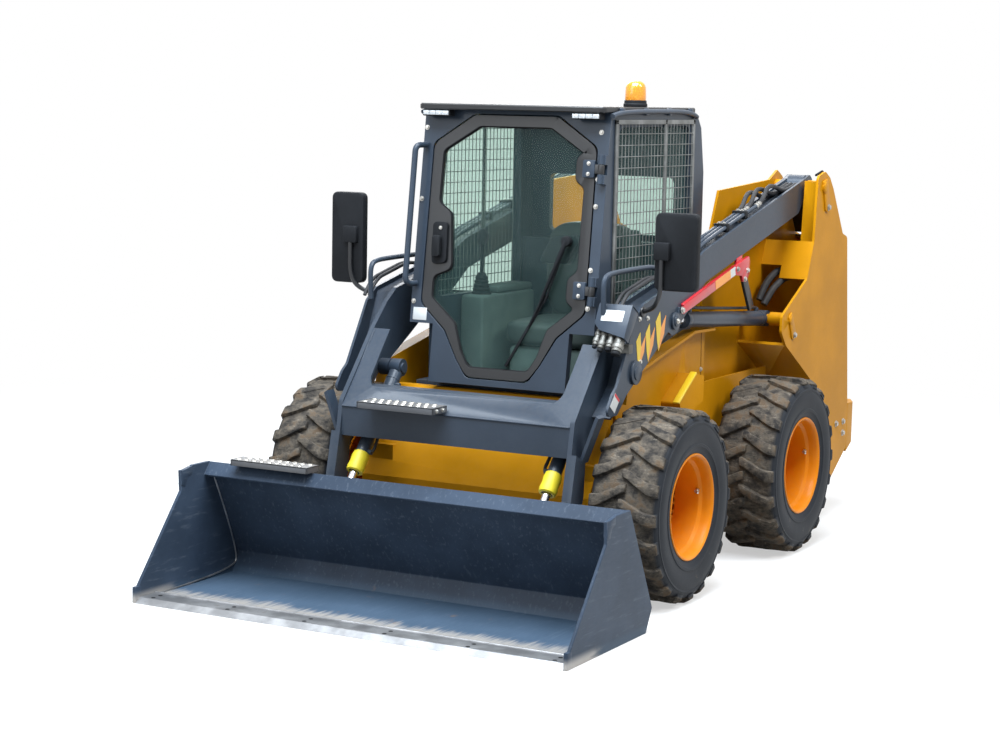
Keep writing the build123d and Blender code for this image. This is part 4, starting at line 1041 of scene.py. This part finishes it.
# Arm steelwork: bosses, chevrons, blank labels, lock bar, bolts and weld lines
KNEE_BOSS = (-657, 944)
LOCK_INNER_X, LOCK_OUTER_X, LOCK_FOOT_Z = 656, 669, 1197
bosses = Shape()
bosses.rod((ARM_OUTER_X - 1, *LIFT_HEAD), (ARM_OUTER_X + 11, *LIFT_HEAD), 38, 40, 3)
bosses.rod((ARM_OUTER_X + 9, *LIFT_HEAD), (ARM_OUTER_X + 16, *LIFT_HEAD), 24, 32, 2)
bosses.rod((ARM_OUTER_X - 1, *KNEE_BOSS), (ARM_OUTER_X + 12, *KNEE_BOSS), 50, 40, 3)
bosses.rod((ARM_OUTER_X + 10, *KNEE_BOSS), (ARM_OUTER_X + 17, *KNEE_BOSS), 30, 32, 2)
arm_pad = rounded([(-238, 1188), (-205, 1180), (-222, 1130), (-262, 1120)], 8)
bosses.side_plate(arm_pad, ARM_OUTER_X - 1, ARM_OUTER_X + 9, 2)
bosses.mirrored()
bosses.piece("arm_pin_bosses", "arms", "slate_blue")
arm_bolts = Shape()
for y, z in ((-624, 1165), (-545, 1162), (-607, 985)):
    arm_bolts.bolt((ARM_OUTER_X, y, z), (1, 0, 0), 8)
arm_bolts.bolt((LOCK_OUTER_X, -222, 1172), (1, 0, 0), 11)
arm_bolts.bolt((ARM_OUTER_X + 16, *LIFT_HEAD), (1, 0, 0), 9)
arm_bolts.mirrored()
for y, z in ((385, 1312), (500, 1300), (470, 1262)):
    arm_bolts.bolt((LOCK_OUTER_X, y, z), (1, 0, 0), 9)
arm_bolts.piece("arm_bolts", "arms", "rod_chrome", bolt_zinc)
yellow_part = [(0, 0.76), (0.40, 1.0), (0.52, 0.58), (0.34, 0.0), (0.16, 0.28)]
orange_part = [(0.52, 0.58), (0.98, 0.88), (0.84, 0.42), (0.34, 0.0)]
CHEVRONS = ((-650, 958, 92, 150), (-560, 976, 92, 162), (-462, 1012, 104, 168))
for part, film, colour_name in (
    (yellow_part, chevron_yellow, "yellow"),
    (orange_part, chevron_orange, "orange"),
):
    chevrons = Shape()
    for y, z, wide, high in CHEVRONS:
        outline = [(y + a * wide, z + b * high) for a, b in part]
        chevrons.side_plate(outline, ARM_OUTER_X + 0.1, ARM_OUTER_X + 1.3, 0)
    chevrons.mirrored()
    chevrons.piece("arm_chevrons_" + colour_name, "arms", "machine_yellow", film)
plate = Shape()
plate.side_plate(
    [(-838, 879), (-796, 846), (-842, 796), (-884, 828)], ARM_OUTER_X + 0.1, ARM_OUTER_X + 1.2, 0,
)
plate.mirrored()
plate.piece("arm_blank_label", "arms", "lamp_lens", white_label)
plate = Shape()
plate.side_plate(
    [(-838, 879), (-796, 846), (-804, 837), (-846, 869)], ARM_OUTER_X + 0.6, ARM_OUTER_X + 1.6, 0,
)
plate.mirrored()
plate.piece("arm_label_edge", "arms", "lock_red", red_label)
lock = Shape()
lock_bar = rounded([(-213, 1151), (-202, LOCK_FOOT_Z), (365, 1331), (365, 1286)], 8)
lock.side_plate(lock_bar, LOCK_INNER_X, LOCK_OUTER_X, 1.5)
lock.side_plate([(-206, 1192), (365, 1326), (365, 1331), (-204, 1197)], 650, LOCK_OUTER_X, 1)
lock.piece("lock_bar", "arms", "lock_red", None, ("lift_lock",))
lock = Shape()
lock_hook = [
    (362, 1330), (515, 1365), (530, 1340), (526, 1281), (492, 1248), (452, 1250), (440, 1278), (362, 1286),
]
lock.side_plate(rounded(lock_hook, 12), LOCK_INNER_X, LOCK_OUTER_X, 1.5)
lock.side_plate([(395, 1300), (470, 1310), (462, 1372), (400, 1358)], 645, 657, 1.5)
lock.piece("lock_bar_hook", "arms", "lock_red")
LOCK_RISE = 134 / 567
for low_y, high_y, film, colour_name in (
    (130, 297, chevron_orange, "orange"),
    (297, 350, white_label, "white"),
):
    band = Shape()
    corners = ((low_y, -2), (high_y, -2), (high_y + 9, -42), (low_y + 9, -42))
    outline = [(y, LOCK_FOOT_Z + (y + 202) * LOCK_RISE + drop) for y, drop in corners]
    band.side_plate(outline, LOCK_OUTER_X - 0.4, LOCK_OUTER_X + 0.8, 0)
    band.piece("lock_band_" + colour_name, "arms", "lamp_lens", film)
strut = Shape()
strut.side_plate(rounded([(462, 1292), (516, 1296), (628, 1130), (586, 1104)], 8), 640, 654, 1.5)
strut.piece("lock_strut", "arms", "black_metal")
welds = Shape()
welds.pipe([(-540, -1021, 748), (0, -1021.5, 749), (540, -1021, 748)], 4)
for side in (-1, 1):
    welds.pipe([(side * 541, -1018, 640), (side * 541, -1021, 748), (side * 541, -765, 1056)], 4)
welds.piece("beam_weld_beads", "arms", "slate_blue")

# Hydraulic lines: steel pipes, hoses and clamps on both arms
PIPE_RUNS = ((584, 560, 1640), (606, 610, 1655), (628, 700, 1668))
PIPE_CLAMPS = (330, 540)


def pipe_height(y):
    """Z of the pipes along the straight top of the arm."""
    return 1464 + (y - 165) * 0.236


lines = Shape()
for x, far, top in PIPE_RUNS:
    bends = [(x, -258, 1292), (x, -180, 1330), (x, 20, 1425), (x, 165, 1464)]
    lines.pipe(bends + [(x, y, pipe_height(y)) for y in (far - 60, far)], 9)
lines.mirrored()
lines.piece("arm_steel_pipes", "arms", "slate_blue", None, ("arm_pipes",))
hoses = Shape()
fittings = Shape()
for x, pipe_end, top in PIPE_RUNS:
    far = pipe_end - 5
    z = pipe_height(far)
    hoses.pipe(
        [(x, far, z), (x, far + 60, z + 18), (x - 4, far + 120, top), (x - 8, far + 210, top + 6),
         (x - 4, far + 320, top - 26), (x, far + 420, top - 12), (x, 1172, 1672)], 10.5,
    )
    fittings.rod((x, far - 22, z - 5), (x, far - 2, z), 13, 6, 1)
    fittings.rod((x, far + 2, z + 1), (x, far + 26, z + 7), 12, 20, 1)
for x in (590, 614):
    hoses.pipe([(x, -735, 1195), (x, -690, 1262), (x, -560, 1290), (x, -380, 1330), (x, -262, 1300)], 8)
hoses.mirrored()
hoses.piece("arm_hoses", "arms", "black_plastic", hose_black, ("arm_pipes",))
clamps = Shape()
for y in PIPE_CLAMPS:
    z = pipe_height(y)
    for x in (595, 617):
        fittings.bolt((x, y, z + 15), (0, -0.23, 1), 6.5)
    clamps.block((572, y - 16, z - 24), (640, y + 16, z + 15), 4)
fittings.mirrored()
fittings.piece("pipe_fittings", "arms", "rod_chrome", bolt_zinc)
clamps.mirrored()
clamps.piece("pipe_clamps", "arms", "black_plastic")
hoop = Shape()
hoop.pipe(
    [(560, -768, 1186), (560, -776, 1270), (560, -772, 1330), (560, -735, 1350), (560, -640, 1354),
     (560, -400, 1358), (560, -290, 1356), (560, -240, 1330), (560, -215, 1300)], 11,
)
hoop.mirrored()
hoop.piece("arm_hoop_tubes", "arms", "slate_blue")

# Towers: pin keeper plates, edge trim, hoses in the front openings, and thin sheets on the rear slopes
keepers = Shape()
arm_keeper = rounded([(1238, 1690), (1300, 1700), (1345, 1568), (1312, 1536), (1284, 1546)], 16)
lift_keeper = rounded([(846, 1062), (884, 1086), (948, 976), (920, 948), (896, 956)], 14)
keepers.side_plate(arm_keeper, TOWER_X, TOWER_X + 8, 2)
keepers.side_plate(lift_keeper, TOWER_X, TOWER_X + 7, 2)
keepers.rod((TOWER_X + 6, *PIVOT), (TOWER_X + 12, *PIVOT), 26, 32, 2)
keepers.rod((TOWER_X + 5, *LIFT_BASE), (TOWER_X + 10, *LIFT_BASE), 19, 28, 2)
keepers.mirrored()
keepers.piece("pin_keepers", "root", "machine_yellow")
tower_bolts = Shape()
tower_bolts.bolt((TOWER_X + 8, 1316, 1562), (1, 0, 0), 12)
tower_bolts.bolt((TOWER_X + 7, 922, 972), (1, 0, 0), 11)
for y, z in ((1660, 470), (1660, 412), (1560, 470)):
    tower_bolts.bolt((TOWER_X, y, z), (1, 0, 0), 12)
for y, z in ((246, 862), (-560, 860), (-560, 700), (-520, 620)):
    tower_bolts.bolt((CHASSIS_X, y, z), (1, 0, 0), 8)
tower_bolts.mirrored()
tower_bolts.piece("tower_bolts", "root", "rod_chrome", bolt_zinc)
trim = Shape()
trim_route = ((1196, 1719), (1278, 1736), (1340, 1709), (1396, 1650), (1540, 1440))
trim.pipe([(TOWER_X - 18, y, z) for y, z in trim_route], 6, False, 2)
trim.mirrored()
trim.piece("tower_edge_trim", "root", "black_plastic", gasket_and_hole_shade_black)
tower_hoses = Shape()
for route in (
    [(530, 1000, 1120), (540, 1040, 1190), (560, 1085, 1236), (575, 1140, 1260), (590, 1220, 1260)],
    [(560, 990, 1100), (575, 1030, 1160), (600, 1080, 1206), (615, 1140, 1230), (620, 1220, 1225)],
):
    tower_hoses.pipe(route, 17)
tower_hoses.mirrored()
tower_hoses.piece("tower_hoses", "root", "black_plastic", hose_black)
sheets = Shape()
sheets.side_plate([(1548, 1421), (1398, 1638), (1404, 1642), (1554, 1425)], 493, 727, 1)
sheets.side_plate([(1546, 1405), (1610, 1398), (1610, 1404), (1546, 1411)], 493, 727, 1)
sheets.mirrored()
sheets.piece("tower_rear_sheets", "root", "black_metal")

# Chassis sides: step edge strips and the seam of the side cover
strips = Shape()
strips.side_plate([(4, 872), (-178, 758), (-186, 766), (-2, 882)], 620, 650, 2)
strips.mirrored()
strips.piece("side_step_strips", "root", "machine_yellow", chevron_yellow)
seams = Shape()
seams.side_plate([(243, 1040), (246, 1040), (254, 802), (251, 802)], CHASSIS_X, CHASSIS_X + 0.9, 0)
seams.side_plate([(-175, 700), (60, 742), (60, 745), (-175, 703)], CHASSIS_X, CHASSIS_X + 0.9, 0)
seams.mirrored()
seams.piece("side_cover_seams", "root", "black_plastic", gasket_and_hole_shade_black)

# Steps: perforated trays on the beam and on the bucket


def tread_tray(name, body, low, high, node, rows):
    """A folded tray with rows of raised drain rings, each filled with a black disc as painted shade for its
    hole.
    """
    tray = Shape()
    tray.block((low[0], low[1], high[2] - 6), high, 1.5)
    tray.block((low[0], low[1], low[2]), (high[0], low[1] + 6, high[2]), 1.5)
    tray.block(low, (low[0] + 6, high[1], high[2]), 1.5)
    tray.block((high[0] - 6, low[1], low[2]), high, 1.5)
    rings = Shape()
    drain_hole_shade = Shape()
    for row in range(rows):
        y = low[1] + 20 + (high[1] - low[1] - 40) * row / max(1, rows - 1)
        for i in range(9):
            x = low[0] + 30 + (high[0] - low[0] - 60) * (i + 0.5 * (row % 2)) / 8.5
            rings.lathe([(0, 13), (5, 10), (5, 7), (0, 7)], (x, y, high[2] - 1), (0, 0, 1), 14)
            # Painted shade: a black disc where the drain hole would show dark.
            drain_hole_shade.rod((x, y, high[2] - 2), (x, y, high[2] + 0.4), 7.2, 14)
    tray.piece(name, body, "step_steel", None, (node,))
    rings.piece(name + "_rings", body, "step_steel", bolt_zinc)
    drain_hole_shade.piece(name + "_holes", body, "black_plastic", gasket_and_hole_shade_black)


tread_tray("beam_step_tray", "arms", (-400, -1130, 762), (-30, -1014, 790), "arm_step", 3)
tread_tray("bucket_step_tray", "bucket", (-830, -1426, 517), (-450, -1336, 543), "bucket_step", 2)
step_bolts = Shape()
for y in (-1050, -1100):
    step_bolts.bolt((-30, y, 775), (1, 0, 0), 8)
step_bolts.piece("beam_step_bolts", "arms", "rod_chrome", bolt_zinc)


# Cylinders: glands, ports and pressure lines, and on the tilt cylinders a sleeve with its yellow wrap
def cylinder_trim(name, body, base, head, over, radius, length):
    """Gland ring, ports and a pressure line along one barrel, on the side that a vector points to."""
    way = (head - base).normalized()

    def above(along, rise):
        """A point beside the barrel, at a distance from its base and from its skin."""
        return base + way * along + over * (radius + rise)

    gland = Shape()
    gland.rod(base + way * (length - 34), base + way * (length + 2), radius + 3, 40, 1.5)
    gland.rod(base + way * 62, base + way * 70, radius + 1.5, 40, 1)
    for along in (92, length - 64):
        gland.rod(above(along, -4), above(along, 16), 12, 6, 1)
    gland.piece(name + "_gland", body, "slate_blue")
    line = Shape()
    route = ((length - 64, 14), (length - 80, 22), (length - 120, 16), (240, 13), (130, 18), (92, 14))
    line.pipe([above(along, rise) for along, rise in route], 7)
    line.piece(name + "_line", body, "black_plastic", hose_black)


def wrapped_sleeve(name, body, base, head, radius, length):
    """The front end of a barrel, with a cloth tied round it."""
    way = (head - base).normalized()
    sleeve = Shape()
    sleeve.rod(base + way * (length - 2), base + way * (length + 36), radius, 40, 1.5)
    sleeve.piece(name + "_sleeve", body, "slate_blue")
    cloth = Shape()
    low, high = length - 56, length + 40
    folds = [
        (low, 0.5), (low + 4, 5), (low + 26, 8), (low + 52, 6), (high - 22, 9), (high - 4, 6),
        (high, 1), (high, -6), (low, -6),
    ]
    cloth.lathe([(along, radius + rise) for along, rise in folds], base, way, 40)
    cloth.piece(name + "_wrap", body, "machine_yellow", wrap_yellow)


for side, hand in SIDES:
    base, head = Vector((side * LIFT_X, *LIFT_BASE)), Vector((side * LIFT_X, *LIFT_HEAD))
    top_side = (head - base).cross(Vector((1, 0, 0))).normalized()
    cylinder_trim("lift_" + hand, "lift_barrel_" + hand, base, head, top_side, LIFT_RADIUS, LIFT_LENGTH)
    base, head = Vector((side * TILT_X, *TILT_TOP)), Vector((side * TILT_X, *TILT_FOOT))
    inner_side = Vector((-side, 0, 0))
    cylinder_trim("tilt_" + hand, "tilt_barrel_" + hand, base, head, inner_side, TILT_RADIUS, TILT_LENGTH)
    wrapped_sleeve("tilt_" + hand, "tilt_barrel_" + hand, base, head, TILT_RADIUS, TILT_LENGTH)

# Rear: tow pin and hood louvres
tow = Shape()
tow.rod((0, 1850, 392), (0, 1850, 566), 17, 28, 2)
tow.rod((0, 1850, 560), (0, 1850, 574), 26, 28, 3)
tow.pipe([(0, 1850, 570), (26, 1850, 590), (0, 1850, 612), (-26, 1850, 590), (0, 1850, 570)], 4)
tow.piece("tow_pin", "root", "worn_steel")
louvres = Shape()
for i in range(9):
    y = 640 + 74 * i
    louvres.side_plate([(y, 1344), (y + 40, 1344), (y + 34, 1356), (y + 4, 1352)], -260, 260, 1.5)
louvres.piece("hood_louvres", "root", "machine_yellow")

# Camera, floor and light
AZIMUTH, PITCH, ROLL = radians(28.5), radians(7.22), radians(1.14)
FOCAL_PIXELS, FRAME_PIXELS, SENSOR = 2206.0, 1000.0, 36.0
ahead = Vector((-sin(AZIMUTH) * cos(PITCH), cos(AZIMUTH) * cos(PITCH), -sin(PITCH)))
level = Vector((cos(AZIMUTH), sin(AZIMUTH), 0))
upright = level.cross(ahead)
right = level * cos(ROLL) + upright * sin(ROLL)
up = upright * cos(ROLL) - level * sin(ROLL)
camera = bpy.data.objects.new("camera", bpy.data.cameras.new("camera"))
bpy.context.scene.collection.objects.link(camera)
camera.data.sensor_width = SENSOR
camera.data.lens = FOCAL_PIXELS / FRAME_PIXELS * SENSOR
camera.data.clip_end = 200.0
turn = Matrix((right, up, -ahead)).transposed().to_4x4()
camera.matrix_world = Matrix.Translation(Vector((4.481, -8.868, 2.069))) @ turn
bpy.context.scene.camera = camera

WHITE_RAYS = ("Is Camera Ray", "Is Glossy Ray", "Is Transmission Ray")
world = bpy.data.worlds.new("studio")
bpy.context.scene.world = world
world.use_nodes = True
sky = world.node_tree.nodes["Background"]
sky.inputs["Color"].default_value = (0.86, 0.93, 1.0, 1.0)
sky.inputs["Strength"].default_value = 0.38
white = world.node_tree.nodes.new("ShaderNodeBackground")
white.inputs["Color"].default_value = (1, 1, 1, 1)
white.inputs["Strength"].default_value = 1.0
ray = world.node_tree.nodes.new("ShaderNodeLightPath")
links = world.node_tree.links
shown = ray.outputs[WHITE_RAYS[0]]
for kind in WHITE_RAYS[1:]:
    either = world.node_tree.nodes.new("ShaderNodeMath")
    either.operation = "MAXIMUM"
    links.new(shown, either.inputs[0])
    links.new(ray.outputs[kind], either.inputs[1])
    shown = either.outputs[0]
choose = world.node_tree.nodes.new("ShaderNodeMixShader")
links.new(shown, choose.inputs[0])
links.new(sky.outputs[0], choose.inputs[1])
links.new(white.outputs[0], choose.inputs[2])
links.new(choose.outputs[0], world.node_tree.nodes["World Output"].inputs["Surface"])


def lamp(name, place, size, watts, colour=(1, 1, 1)):
    """A square area lamp that points at the machine's middle."""
    data = bpy.data.lights.new(name, "AREA")
    data.size = size
    data.energy = watts
    data.color = colour
    holder = bpy.data.objects.new(name, data)
    bpy.context.scene.collection.objects.link(holder)
    holder.location = place
    holder.rotation_euler = (Vector((0, 0, 0.8)) - Vector(place)).to_track_quat("-Z", "Y").to_euler()


lamp("key_lamp", (7.5, 0.5, 8.5), 3.0, 600, (1.0, 0.97, 0.92))
lamp("front_fill", (-3.0, -8.5, 5.0), 5.0, 200, (0.9, 0.95, 1.0))
lamp("back_fill", (-5.0, 7.0, 6.0), 5.0, 380)
lamp("overhead", (0.5, -2.5, 7.5), 6.0, 1550, (0.84, 0.92, 1.0))

GROUND, PALE_GROUND = (0.24, 0.235, 0.225), (0.84, 0.84, 0.84)
FLOOR_DEPTH, FLOOR_HALF = 0.0006, 30.0
floor = bpy.data.objects.new("floor", bpy.data.meshes.new("floor"))
bpy.context.scene.collection.objects.link(floor)
ground = bmesh.new()
just_below = Matrix.Translation((0, 0, -FLOOR_DEPTH))
bmesh.ops.create_grid(ground, x_segments=1, y_segments=1, size=FLOOR_HALF, matrix=just_below)
ground.to_mesh(floor.data)
ground.free()
pale = Finish("pale_floor")
shown_white = sum(pale.node("LightPath", {}, {}, kind) for kind in WHITE_RAYS).ramp(0, 1)
pale.set(Base_Color=pale.mix(shown_white, GROUND, PALE_GROUND), Roughness=0.9)
away_x, away_y = pale.axis("X"), pale.axis("Y")
distance = pale.node("Math", {"operation": "SQRT"}, {0: away_x * away_x + away_y * away_y})
glow = pale.tree.nodes.new("ShaderNodeEmission")
whiten = 0.52 + distance.ramp(2.2, 6.5) * 0.48
pale.blend(whiten * shown_white, pale.shader, glow)
floor.data.materials.append(pale.material)
bpy.context.scene.view_settings.view_transform = "Standard"
